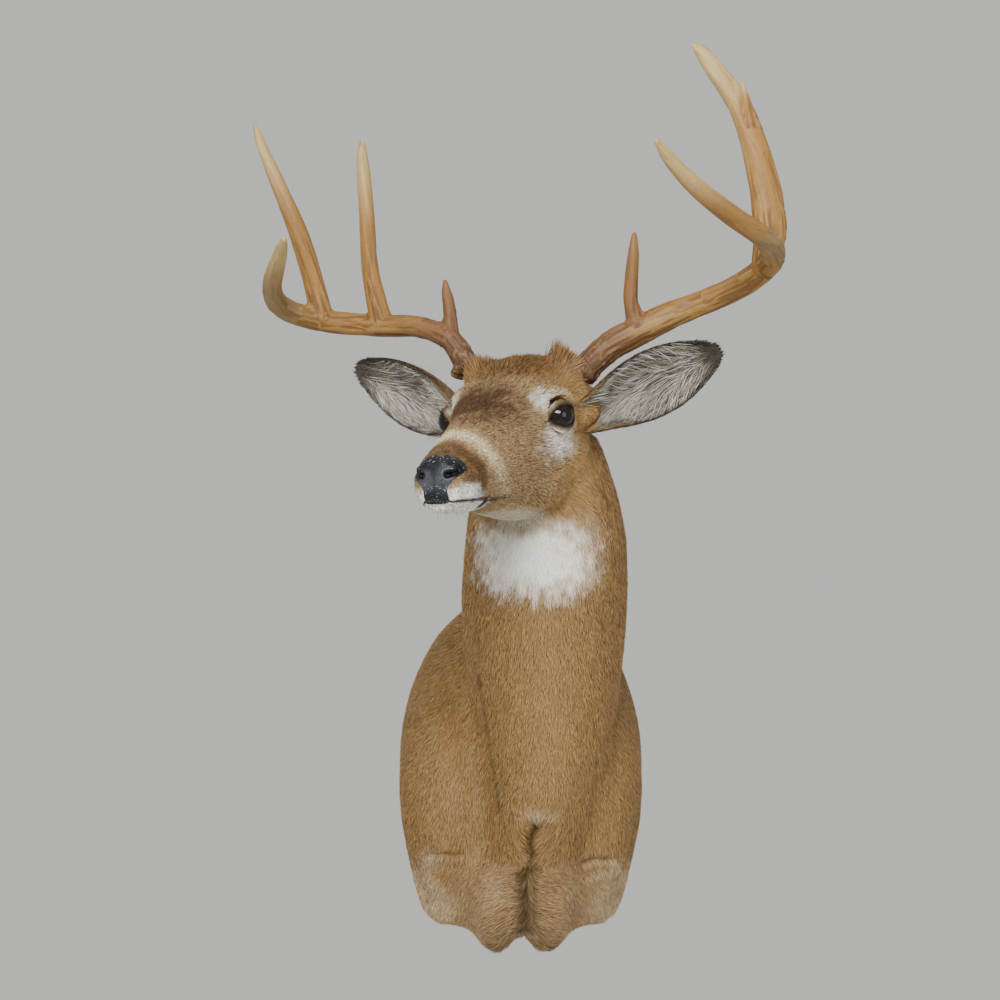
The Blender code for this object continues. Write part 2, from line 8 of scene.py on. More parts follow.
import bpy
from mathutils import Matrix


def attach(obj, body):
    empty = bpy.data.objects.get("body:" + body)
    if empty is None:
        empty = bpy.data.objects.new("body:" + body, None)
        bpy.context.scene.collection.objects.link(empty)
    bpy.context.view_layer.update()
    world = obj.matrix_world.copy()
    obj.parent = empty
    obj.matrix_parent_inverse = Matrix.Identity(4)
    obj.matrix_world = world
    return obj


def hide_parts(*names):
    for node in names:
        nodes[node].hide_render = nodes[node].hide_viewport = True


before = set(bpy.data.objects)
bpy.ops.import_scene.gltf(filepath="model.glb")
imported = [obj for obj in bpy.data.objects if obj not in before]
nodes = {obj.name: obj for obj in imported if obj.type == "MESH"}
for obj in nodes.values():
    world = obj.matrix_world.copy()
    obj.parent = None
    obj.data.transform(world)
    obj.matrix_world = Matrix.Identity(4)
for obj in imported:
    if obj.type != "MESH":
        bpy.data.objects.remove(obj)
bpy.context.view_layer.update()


# %% [markdown]
# ## The head's own frame
# The head is turned on the neck, so everything on the face is easier to place in the head's own
# frame: millimetres from the point midway between the eyes, x to the buck's left, y towards the
# back of the skull and z up. A matrix carries points between that frame and the world.

# %% The head's frame and a few number tools
import itertools
import math

import bmesh
import bpy
import numpy as np
from mathutils import Matrix, Vector
from mathutils.bvhtree import BVHTree

MM = 0.001
HEAD = (
    Matrix.Translation((-18 * MM, -330 * MM, 389 * MM))
    @ Matrix.Rotation(math.radians(-23), 4, "Z")
    @ Matrix.Rotation(math.radians(4), 4, "X")
    @ Matrix.Rotation(math.radians(-2), 4, "Y")
)
HEAD_TURN = np.array(HEAD)[:3, :3]
HEAD_PLACE = np.array(HEAD)[:3, 3]


def in_head(points):
    """World metres to the head's own millimetres."""
    return (points - HEAD_PLACE) @ HEAD_TURN / MM


def from_head(points):
    """The head's own millimetres to world metres."""
    return np.asarray(points, float) * MM @ HEAD_TURN.T + HEAD_PLACE


def step(value, low, high):
    """0 below low, 1 above high, smooth between; low may be the larger."""
    t = np.clip((value - low) / (high - low), 0, 1)
    return t * t * (3 - 2 * t)


def mix(a, b, share):
    return a + (b - a) * share


def unit(vectors):
    return vectors / np.maximum(np.linalg.norm(vectors, axis=-1, keepdims=True), 1e-12)


def noise(points, size, seed=0):
    """Smooth random values from -1 to 1 that change over about size millimetres."""
    q = np.asarray(points) / (size * MM) + seed * 17.13
    cell = np.floor(q).astype(np.int64)
    f = q - cell
    f = f * f * (3 - 2 * f)
    total = np.zeros(len(q))
    for corner in itertools.product((0, 1), repeat=3):
        c = cell + np.array(corner)
        h = (c[:, 0] * 73856093) ^ (c[:, 1] * 19349663) ^ (c[:, 2] * 83492791) ^ (seed * 40503)
        h = ((h ^ (h >> 13)) * 1274126177) & 0xFFFFFFFF
        value = ((h ^ (h >> 15)) & 0xFFFF) / 32767.5 - 1
        total += value * np.prod(np.where(corner, f, 1 - f), axis=1)
    return total


def along(stations, at):
    """A smooth curve through (place, value) stations, read at one or many places."""
    place, value = (np.array(column, float) for column in zip(*stations))
    slope = np.gradient(value, place)
    at = np.clip(np.asarray(at, float), place[0], place[-1])
    k = np.clip(np.searchsorted(place, at) - 1, 0, len(place) - 2)
    span = place[k + 1] - place[k]
    t = (at - place[k]) / span
    return (
        value[k] * (1 + 2 * t) * (1 - t) ** 2
        + slope[k] * span * t * (1 - t) ** 2
        + value[k + 1] * t * t * (3 - 2 * t)
        + slope[k + 1] * span * t * t * (t - 1)
    )


def to_path(points, path):
    """Distance from each point to a bent line, and how far along the line (0 to 1) that is."""
    path = np.asarray(path, float)
    best = np.full(len(points), np.inf)
    where = np.zeros(len(points))
    steps = np.linalg.norm(np.diff(path, axis=0), axis=1)
    start = np.concatenate([[0], np.cumsum(steps)]) / steps.sum()
    for k, (a, b) in enumerate(zip(path, path[1:])):
        way = b - a
        t = np.clip((points - a) @ way / (way @ way), 0, 1)
        gap = np.linalg.norm(points - (a + t[:, None] * way), axis=1)
        nearer = gap < best
        best = np.where(nearer, gap, best)
        where = np.where(nearer, start[k] + t * (start[k + 1] - start[k]), where)
    return best, where


print("eyes' mid-point", HEAD_PLACE)

# %% [markdown]
# ## Colours and a node helper
# Fur colours are written as the hex values of a paint chart and turned into the linear values that
# the shader works in. One small function adds a shader node with its settings and links, so that a
# material reads as a short list.

# %% Colours and materials
def linear(hexed):
    """A paint-chart hex colour as linear red, green and blue."""
    parts = np.array([int(hexed[i : i + 2], 16) for i in (1, 3, 5)]) / 255
    return np.where(parts <= 0.04045, parts / 12.92, ((parts + 0.055) / 1.055) ** 2.4)


def rgba(hexed):
    return (*linear(hexed), 1)


def new_material(name):
    made = bpy.data.materials.new(name)
    made.use_nodes = True
    return made, made.node_tree, made.node_tree.nodes["Principled BSDF"]


def node(tree, kind, settings=None, **links):
    """Adds a node. Settings are properties, sockets' values or a ramp's stops; links are sockets."""
    made = tree.nodes.new(kind)
    for name, value in (settings or {}).items():
        if name == "stops":
            band = made.color_ramp.elements
            while len(band) < len(value):
                band.new(0.5)
            for element, (place, colour) in zip(band, value):
                element.position = place
                element.color = (*colour, 1)
        elif hasattr(made, name):
            setattr(made, name, value)
        else:
            made.inputs[name].default_value = value
    for name, source in links.items():
        key = int(name[1:]) if name[1:].isdigit() else name.replace("_", " ")
        tree.links.new(source, made.inputs[key])
    return made


# %% [markdown]
# ## The skin
# A real cape is one tube of skin from the brisket to the nose. The solids are cut into pieces, so
# copies of them are merged, swollen by a hair so that the cuts close, and run through a voxel
# remesh, which makes one closed skin. It is drawn in by the depth of the coat, so that the tips of
# the hair come out where the solids' surface was.

# %% Gather the flesh and make one skin of it
FLESH = ["trunk", "neck", "head", "muzzle", "nose_pad", "lower_jaw"]
SKIN_VOXEL = 2.9 * MM
CUT_CLOSING = 0.35 * MM


def merged_copy(names, swell):
    """The named solids' triangles, merged into closed bodies and swollen a little."""
    whole = bmesh.new()
    for name in names:
        part = bmesh.new()
        part.from_mesh(nodes[name].data)
        bmesh.ops.remove_doubles(part, verts=part.verts, dist=0.01 * MM)
        part.normal_update()
        shifts = [(v, v.normal * swell) for v in part.verts]
        for v, shift in shifts:
            v.co += shift
        mesh = bpy.data.meshes.new("part")
        part.to_mesh(mesh)
        part.free()
        whole.from_mesh(mesh)
        bpy.data.meshes.remove(mesh)
    mesh = bpy.data.meshes.new("merged")
    whole.to_mesh(mesh)
    whole.free()
    return mesh


def new_object(name, mesh):
    made = bpy.data.objects.new(name, mesh)
    bpy.context.scene.collection.objects.link(made)
    return made


def applied(obj):
    """Makes the object's modifiers part of its mesh."""
    graph = bpy.context.evaluated_depsgraph_get()
    mesh = bpy.data.meshes.new_from_object(obj.evaluated_get(graph))
    obj.modifiers.clear()
    obj.data = mesh
    return obj


def remeshed(name, mesh, voxel, smoothing):
    obj = new_object(name, mesh)
    fuse = obj.modifiers.new("fuse", "REMESH")
    fuse.mode = "VOXEL"
    fuse.voxel_size = voxel
    soften = obj.modifiers.new("soften", "SMOOTH")
    soften.factor = 0.5
    soften.iterations = smoothing
    return applied(obj)


def vertex_array(mesh):
    values = np.empty(len(mesh.vertices) * 3, np.float32)
    mesh.vertices.foreach_get("co", values)
    return values.reshape(-1, 3).astype(float)


def normal_array(mesh):
    values = np.empty(len(mesh.vertices) * 3, np.float32)
    mesh.vertex_normals.foreach_get("vector", values)
    return values.reshape(-1, 3).astype(float)


def set_vertices(mesh, points):
    mesh.vertices.foreach_set("co", np.asarray(points, np.float32).ravel())
    mesh.update()


skin = remeshed("hide_skin", merged_copy(FLESH, CUT_CLOSING), SKIN_VOXEL, 3)
print("skin faces", len(skin.data.polygons))

# %% [markdown]
# ## Finer faces where the head is carved
# Lids, nostrils and lips need faces of about a millimetre, and the shoulders do not. So the faces
# in front of the ears are divided once, and those of the muzzle once more. A few passes of
# smoothing then round the divided faces.

# %% Divide the face and round it
def divide(mesh, chosen):
    """Divides the faces whose middles are chosen, once."""
    bm = bmesh.new()
    bm.from_mesh(mesh)
    middles = np.array([f.calc_center_median() for f in bm.faces])
    picked = [f for f, yes in zip(bm.faces, chosen(middles)) if yes]
    edges = list({e for f in picked for e in f.edges})
    bmesh.ops.subdivide_edges(bm, edges=edges, cuts=1, use_grid_fill=True)
    bm.to_mesh(mesh)
    bm.free()


def on_face(points):
    h = in_head(points)
    return (h[:, 1] < 46) & (h[:, 2] > -116) & (h[:, 2] < 70) & (np.abs(h[:, 0]) < 90)


def on_muzzle(points):
    h = in_head(points)
    return on_face(points) & (h[:, 1] < -92)


divide(skin.data, on_face)
divide(skin.data, on_muzzle)
rounding = skin.modifiers.new("rounding", "SMOOTH")
rounding.factor = 0.5
rounding.iterations = 5
applied(skin)
print("skin faces after dividing", len(skin.data.polygons))

# %% [markdown]
# ## Carving the skin
# The carving is a set of grooves and swellings along short lines: the nostrils, the mouth, the
# tear groove, the crease down the breast and the hollow where the breast hair meets. Each one
# moves the points near its line in or out along their normals, which keeps the skin in one piece.

# %% Draw the skin in by the coat's depth, and carve it
NOSTRIL = [
    (8, -176, -39), (15, -173, -38), (21.5, -168, -40.5), (24.5, -165.5, -46), (20, -171, -51),
    (13, -177, -52),
]
MOUTH = [
    (0, -190, -77), (12, -180, -77), (21, -160, -77), (24, -140, -77.5), (24, -122, -78),
    (24, -106, -80), (25, -88, -80), (27, -66, -80),
]
TEAR_GROOVE = [(56, -16, -8), (53, -22, -13), (51, -28, -19), (51, -32, -25)]
BREAST_CREASE = [
    (-45, -222, 118), (-39, -221, 85), (-31.6, -218, 40), (-24, -221, -3.5), (-22, -221, -22),
]
SHOULDER_GROOVE = [(-70, -205, 185), (-72, -190, 130), (-68.7, -160, 79), (-62, -160, 40)]
HOLLOW = [(15.3, -246, -35), (8, -240, -50), (7, -236, -64), (13, -232, -79)]
SEAM = [(5, -231, -80), (4, -228, -90), (4.2, -215, -118), (4.4, -202, -142), (3, -192, -156)]
LEG_CREASE_RIGHT = [(-104, -165, -81), (-82, -178, -79), (-58, -188, -80)]
LEG_CREASE_LEFT = [(60, -190, -88), (80, -182, -84), (104, -160, -87)]
THROAT_FOLD = [(35, -311, 267), (39, -308, 255), (42, -305, 244)]


def coat_depth(points):
    """How far the coat stands off the skin at each place, in millimetres."""
    h = in_head(points)
    depth = np.full(len(points), 4.0)
    depth = mix(depth, 5.5, step(points[:, 2], -0.06, -0.13))
    near_head = step(h[:, 1], 95, 40) * step(h[:, 2], -128, -100)
    depth = mix(depth, 2.0, near_head)
    depth = mix(depth, 1.3, near_head * step(h[:, 1], -60, -110))
    depth = mix(depth, 0.3, step(h[:, 1], -163, -170) * (h[:, 2] > -80))
    crown = step(h[:, 2], 30, 45) * (h[:, 1] > -40)
    depth = mix(depth, 4.5, crown)
    return mix(depth, 0.6, step(points[:, 1], -0.012, -0.002))


def mirrored(points):
    """The head's points with every x made positive."""
    return np.stack([np.abs(points[:, 0]), points[:, 1], points[:, 2]], axis=1)


def carve(points):
    """The shift of every point along its normal, in millimetres."""
    h = in_head(points)
    m = mirrored(h)
    w = points / MM
    shift = -coat_depth(points)

    def press(space, line, width, deep, ends=0.0, through=(1, 1, 1)):
        """Pushes in along a line; through weighs the axes, so that depth counts less."""
        nonlocal shift
        weight = np.array(through)
        low, high = np.min(line, axis=0) - 25, np.max(line, axis=0) + 25
        near = np.all((space > low) & (space < high), axis=1)
        gap, place = to_path(space[near] * weight, np.array(line, float) * weight)
        fade = 1.0 if not ends else step(place, 0, ends) * step(place, 1, 1 - ends)
        shift[near] -= deep * fade * np.exp(-((gap / width) ** 2))

    press(m, NOSTRIL, 3.6, -2.2)
    press(m, NOSTRIL[1:], 2.6, 9.0)
    press(m, MOUTH, 1.6, 3.4, 0.08, (0.4, 0.8, 1))
    press(m, MOUTH, 6.0, -1.0, 0.2)
    press(m, TEAR_GROOVE, 2.2, 2.2, 0.15)
    press(w, BREAST_CREASE, 2.8, 3.6, 0.15, (1, 0.15, 1))
    press(w, SHOULDER_GROOVE, 7.0, 2.6, 0.2, (1, 0.2, 1))
    press(w, HOLLOW, 6.0, 9.0, 0.12, (1, 0.3, 1))
    press(w, SEAM, 2.8, 4.0, 0.1, (1, 0.2, 1))
    press(w, LEG_CREASE_RIGHT, 3.5, 4.5, 0.15, (1, 0.3, 1))
    press(w, LEG_CREASE_LEFT, 3.5, 4.0, 0.2, (1, 0.3, 1))
    press(w, THROAT_FOLD, 2.0, 1.6, 0.2)
    shift += 0.5 * noise(points, 22, 3) + 0.25 * noise(points, 9, 4)
    return shift


points = vertex_array(skin.data)
normals = normal_array(skin.data)
set_vertices(skin.data, points + normals * carve(points)[:, None] * MM)
settle = skin.modifiers.new("settle", "SMOOTH")
settle.factor = 0.5
settle.iterations = 1
applied(skin)
print("skin drawn in by", coat_depth(points).min(), "to", coat_depth(points).max(), "mm")

# %% [markdown]
# ## The ears
# An ear is a leaf of cartilage rolled into a cup. It is too thin for the remesh, so it is built as
# a grid in two layers from the same stations as the solid, with the rim turned in a little, low
# ridges inside, and a root that reaches into the head. The two layers are joined at the rim, and
# the leaf becomes part of the skin's mesh.

# %% Build the ears and join them to the skin
EAR_STATIONS = [  # fraction of the length, width laid flat (mm), arc it is rolled into (degrees)
    (0.0, 62, 250),
    (0.15, 78, 215),
    (0.3, 90, 175),
    (0.5, 92, 140),
    (0.7, 78, 118),
    (0.85, 54, 100),
    (0.95, 30, 85),
    (1.0, 12, 75),
]
EAR_LENGTH = 157 * MM
EAR_BOW = 14 * MM
LEAF_HALF = 0.55 * MM
EARS = {  # side: root, way to the tip, way the cup faces, in the head's frame
    1: ((56, 62, -12), (0.88, 0.21, 0.39), (0.25, -0.9, -0.05)),
    -1: ((-56, 62, -12), (-0.92, 0.06, 0.45), (-0.35, -0.85, -0.1)),
}


class Ear:
    """One ear's leaf: places on it from u, root to tip, and v, edge to edge."""

    def __init__(self, side):
        root, reach, facing = (np.array(row, float) for row in EARS[side])
        self.side = side
        self.reach = unit(HEAD_TURN @ reach)
        facing = HEAD_TURN @ facing
        self.facing = unit(facing - self.reach * (facing @ self.reach))
        self.across = np.cross(self.reach, self.facing)
        self.root = from_head(root)

    def leaf(self, u, v):
        """Points of the leaf's middle layer and its cup-side normals."""
        u, v = np.broadcast_arrays(np.asarray(u, float), np.asarray(v, float))
        width = along([(s[0], s[1]) for s in EAR_STATIONS], u) * MM
        arc = np.radians(along([(s[0], s[2]) for s in EAR_STATIONS], u))
        radius = width / arc
        turn = arc * v
        curl = step(np.abs(v), 0.38, 0.5) * step(u, 0.02, 0.25) * step(u, 1.0, 0.8)
        out = radius * np.sin(turn) - np.sign(v) * curl * 2.5 * MM
        rise = radius * (1 - np.cos(turn)) + curl * 1.5 * MM
        ridge = np.exp(-(((np.abs(v) - 0.17) / 0.05) ** 2))
        ridge = ridge * step(u, 0.02, 0.15) * step(u, 0.62, 0.35)
        wave = 0.8 * MM * np.sin(u * 9 + v * 5) * step(u, 0.1, 0.5)
        spine = (
            self.root + self.reach * (EAR_LENGTH * u)[..., None] - self.facing
            * (EAR_BOW * 4 * u * (1 - u))[..., None]
        )
        points = (
            spine + self.across * out[..., None] + self.facing
            * (rise + ridge * 3 * MM + wave)[..., None]
        )
        inward = unit(self.facing * np.cos(turn)[..., None] - self.across * np.sin(turn)[..., None])
        return points, inward


def add_ear(bm, ear, layers, rows=44, columns=30):
    """Adds an ear's two layers and its rim to the skin, with each point's place on the leaf."""
    us = np.linspace(0, 1, rows)
    vs = np.linspace(-0.5, 0.5, columns)
    middle, inward = ear.leaf(us[:, None], vs[None, :])
    grids = []
    for cup, layer in ((1, middle + inward * LEAF_HALF), (0, middle - inward * LEAF_HALF)):
        grid = []
        for u, row in zip(us, layer):
            verts = []
            for v, point in zip(vs, row):
                vert = bm.verts.new(point)
                for name, value in zip(layers, (ear.side, u, v, cup)):
                    vert[layers[name]] = value
                verts.append(vert)
            grid.append(verts)
        grids.append(grid)
    faces = []
    for r in range(rows - 1):
        for c in range(columns - 1):
            for grid, flip in zip(grids, (False, True)):
                ring = [grid[r][c], grid[r + 1][c], grid[r + 1][c + 1], grid[r][c + 1]]
                faces.append(bm.faces.new(ring[::-1] if flip else ring))
    front, back = grids
    rim = [(r, 0) for r in range(rows)] + [(rows - 1, c) for c in range(1, columns)]
    rim += [(r, columns - 1) for r in range(rows - 2, -1, -1)]
    rim += [(0, c) for c in range(columns - 2, 0, -1)]
    for (r, c), (t, d) in zip(rim, rim[1:] + rim[:1]):
        faces.append(bm.faces.new((front[r][c], back[r][c], back[t][d], front[t][d])))
    bmesh.ops.recalc_face_normals(bm, faces=faces)


EAR_LAYERS = ("ear_side", "ear_u", "ear_v", "ear_cup")
ears = {side: Ear(side) for side in (1, -1)}
bm = bmesh.new()
bm.from_mesh(skin.data)
layers = {name: bm.verts.layers.float.new(name) for name in EAR_LAYERS}
for ear in ears.values():
    add_ear(bm, ear, layers)
bmesh.ops.triangulate(bm, faces=bm.faces)
bm.to_mesh(skin.data)
bm.free()
print("skin triangles", len(skin.data.polygons))

# %% [markdown]
# ## Eyelids
# A taxidermist sets a glass eye in clay and tucks the dried lids against it. The opening is an
# almond on the eyeball, drawn down towards the tear corner. From its edge a rolled rim rises,
# and the lid runs out over a low fold on to the skin. That is a loft of rings round the almond:
# the inner rings follow the eyeball, and the last lies just under the skin, whose faces inside
# it go.

# %% Loft the lids round each eye
EYE_RADIUS = 17.0
EYE_CENTRE = (55.0, 0.5, -5.5)
EYE_TURN = math.radians(32)
LID_REACH = {"front": 58.0, "back": 62.0, "top": 33.0, "bottom": 36.0}  # degrees on the eyeball


class EyeFrame:
    """An eye's centre and its outward, forward and upward ways, in head millimetres."""

    def __init__(self, side):
        self.side = side
        self.centre = np.array([side * EYE_CENTRE[0], EYE_CENTRE[1], EYE_CENTRE[2]])
        self.out = np.array([side * math.cos(EYE_TURN), -math.sin(EYE_TURN), 0])
        self.fore = np.array([-side * math.sin(EYE_TURN), -math.cos(EYE_TURN), 0])
        self.up = np.array([0, 0, 1.0])

    def way(self, flat, high):
        """The direction at an angle forward and an angle up, in degrees."""
        flat, high = np.radians(flat)[..., None], np.radians(high)[..., None]
        level = self.out * np.cos(flat) + self.fore * np.sin(flat)
        return level * np.cos(high) + self.up * np.sin(high)

    def angles(self, head_points):
        d = unit(head_points - self.centre)
        flat = np.degrees(np.arctan2(d @ self.fore, d @ self.out))
        return flat, np.degrees(np.arcsin(np.clip(d @ self.up, -1, 1)))


def almond(turn, grow=0.0):
    """The lid opening's edge: angle forward and angle up, for a turn round it."""
    c, s = np.cos(turn), np.sin(turn)
    fore = c > 0
    flat = np.where(fore, LID_REACH["front"] + grow, LID_REACH["back"] + grow) * c
    high = np.where(s > 0, LID_REACH["top"], LID_REACH["bottom"]) + grow
    power = np.where(fore, 1.45, 1.05)
    high = high * np.sign(s) * np.abs(s) ** power
    return flat, high - 8 * step(c, 0.35, 1.0) + 3 * step(c, -0.4, -1.0)


LID_RINGS = [  # degrees out from the edge, millimetres off the eyeball
    (8, -1.2),
    (1, -0.4),
    (0, 0.3),
    (2.5, 1.0),
    (6.0, 1.3),
    (10.0, 1.2),
]


LID_TURN = np.linspace(0, 2 * math.pi, 72, endpoint=False)
LID_SPREAD = 21 - 6 * step(np.cos(LID_TURN), 0, 1)  # degrees from the edge to where a lid ends
LID_SPREAD += np.where(np.sin(LID_TURN) > 0, 11, 5) * step(np.abs(np.sin(LID_TURN)), 0, 0.7)


def within(flat, high, ring):
    """Whether places on the eyeball's map lie inside a closed ring of them."""
    inside = np.zeros(len(flat), bool)
    for (x0, y0), (x1, y1) in zip(ring, np.roll(ring, -1, axis=0)):
        crosses = (y0 > high) != (y1 > high)
        inside ^= crosses & (flat < x0 + (high - y0) * (x1 - x0) / (y1 - y0 + 1e-12))
    return inside


def lid_rings(eye, tree):
    rings = []
    for grow, off in LID_RINGS:
        way = eye.way(*almond(LID_TURN, grow))
        rings.append(eye.centre + way * (EYE_RADIUS + off))
    landing = []
    for way in eye.way(*almond(LID_TURN, LID_SPREAD)):
        start = Vector(from_head(eye.centre + way * 34))
        hit, _, _, _ = tree.ray_cast(start, Vector(-(HEAD_TURN @ way)))
        off = 99.0 if hit is None else np.linalg.norm(in_head(np.array([hit]))[0] - eye.centre)
        landing.append(eye.centre + way * np.clip(off - 0.5, EYE_RADIUS + 0.6, 34))
    landing = np.array(landing)
    landing = (np.roll(landing, 1, axis=0) + landing * 2 + np.roll(landing, -1, axis=0)) / 4
    crest = rings[-1]
    climb = unit(rings[-1] - rings[-2]) * 4 + unit(crest - eye.centre) * 1.5
    for t in (0.2, 0.4, 0.6, 0.8, 1.0):
        fold = 0.5 * math.exp(-(((t - 0.42) / 0.12) ** 2))
        lean = crest + climb * t * (1 - t) ** 2 * 1.8
        rings.append(lean * (1 - t) + landing * t - unit(crest - eye.centre) * fold)
    return rings


skin_tree = BVHTree.FromPolygons(
    [Vector(p) for p in vertex_array(skin.data)],
    [tuple(p.vertices) for p in skin.data.polygons],
)
eye_frames = {side: EyeFrame(side) for side in (1, -1)}
bm = bmesh.new()
bm.from_mesh(skin.data)
bare_layer = bm.verts.layers.float.new("bare")
for side, eye in eye_frames.items():
    rings = lid_rings(eye, skin_tree)
    spots = in_head(np.array([v.co for v in bm.verts]))
    near = np.linalg.norm(spots - eye.centre, axis=1) < 34
    flat, high = eye.angles(spots)
    inside = near & within(flat, high, np.stack(almond(LID_TURN, LID_SPREAD - 3), axis=1))
    bm.verts.ensure_lookup_table()
    bmesh.ops.delete(bm, geom=[bm.verts[i] for i in np.flatnonzero(inside)], context="VERTS")
    rows = [[bm.verts.new(from_head(p)) for p in ring] for ring in rings]
    for bare_share, row in zip((1, 1, 1, 1, 0.85, 0.5, 0.2), rows):
        for vert in row:
            vert[bare_layer] = bare_share
    made = []
    for low, top in zip(rows, rows[1:]):
        for i in range(len(low)):
            j = (i + 1) % len(low)
            ring = (low[i], low[j], top[j], top[i])
            made.append(bm.faces.new(ring[::-1] if side > 0 else ring))
    bmesh.ops.triangulate(bm, faces=made)
bm.to_mesh(skin.data)
bm.free()
skin.data.polygons.foreach_set("use_smooth", [True] * len(skin.data.polygons))
print("skin with lids", len(skin.data.polygons), "triangles")

# %% [markdown]
# ## Markings and painted shade
# A whitetail is tan on the body and grizzled on the face, with a white throat, chin and eye ring,
# a pale band behind the nose, and a dark forehead. The skin and every tuft of hair must agree, so
# one function gives the colour at any place, from soft patches in a list. Each patch is an
# ellipsoid or a stripe along a line, and its edge is broken up by noise, as a coat's edges are.
# Some patches are painted shade: the shoulders darken towards the wall, partly their own darker
# hair, and the breast's creases, hollow and seam are darkened.

# %% The coat's colours at any place
TAN = linear("#9C794A")  # the neck's hair
# partly the shoulders' own darker hair, partly painted shade where the sides turn away from the light
FLANK_HAIR_AND_SHADE = linear("#82663D")  # the shoulders, towards the back
BRISKET = linear("#9E815B")
STUMP = linear("#BEA37C")
WHITE = linear("#FBF7EC")
CREAM = linear("#E2D2B4")
GRIZZLE = linear("#967A55")  # the face
FOREHEAD = linear("#4C331A")
CROWN = linear("#76542C")
BRIDGE = linear("#664D31")
RUST = linear("#5C4124")
PALE_BAND = linear("#DEC6A0")
CHEEK = linear("#98774A")
UNDER_JAW = linear("#B8AE98")
DARK_SKIN = linear("#2A2119")
# painted shade for the breast's hollow, its seam and its crease
CREASE_SHADE = linear("#57421F")

PALE_BAND_LINE = [
    (0, -130, -15), (12, -128, -20), (24, -120, -31), (31, -104, -47), (31, -90, -63),
    (27, -76, -76),
]
RUST_LINE = [(19, -150, -35), (27, -140, -45), (30, -132, -57), (28, -134, -73)]
BROW_LINE = [(43, -31, 4), (48, -20, 13), (54, -4, 19), (60, 14, 18), (63, 29, 10)]


def patch(space, centre, half, soft=0.3, ragged=0.12, power=2.0, seed=1):
    """How far each point is inside an ellipsoid: 1 inside, 0 outside, soft between."""
    d = np.abs((space - np.array(centre)) / np.array(half))
    reach = np.sum(d**power, axis=1) ** (1 / power)
    reach = (
        reach + ragged * noise(space * MM, 7, seed) + ragged * 0.5
        * noise(space * MM, 3, seed + 1)
    )
    return step(reach, 1 + soft, 1 - soft)


def stripe(space, line, width, soft=0.4, seed=5, through=(1, 1, 1)):
    """How near each point is to a line; through weighs the axes, so that depth counts less."""
    gap, _ = to_path(space * np.array(through), np.array(line, float) * np.array(through))
    reach = gap / width + 0.2 * noise(space * MM, 6, seed) + 0.2 * noise(space * MM, 2.5, seed)
    return step(reach, 1 + soft, 1 - soft)


def paint(base, colour, share):
    return base + (colour - base) * np.asarray(share)[:, None]


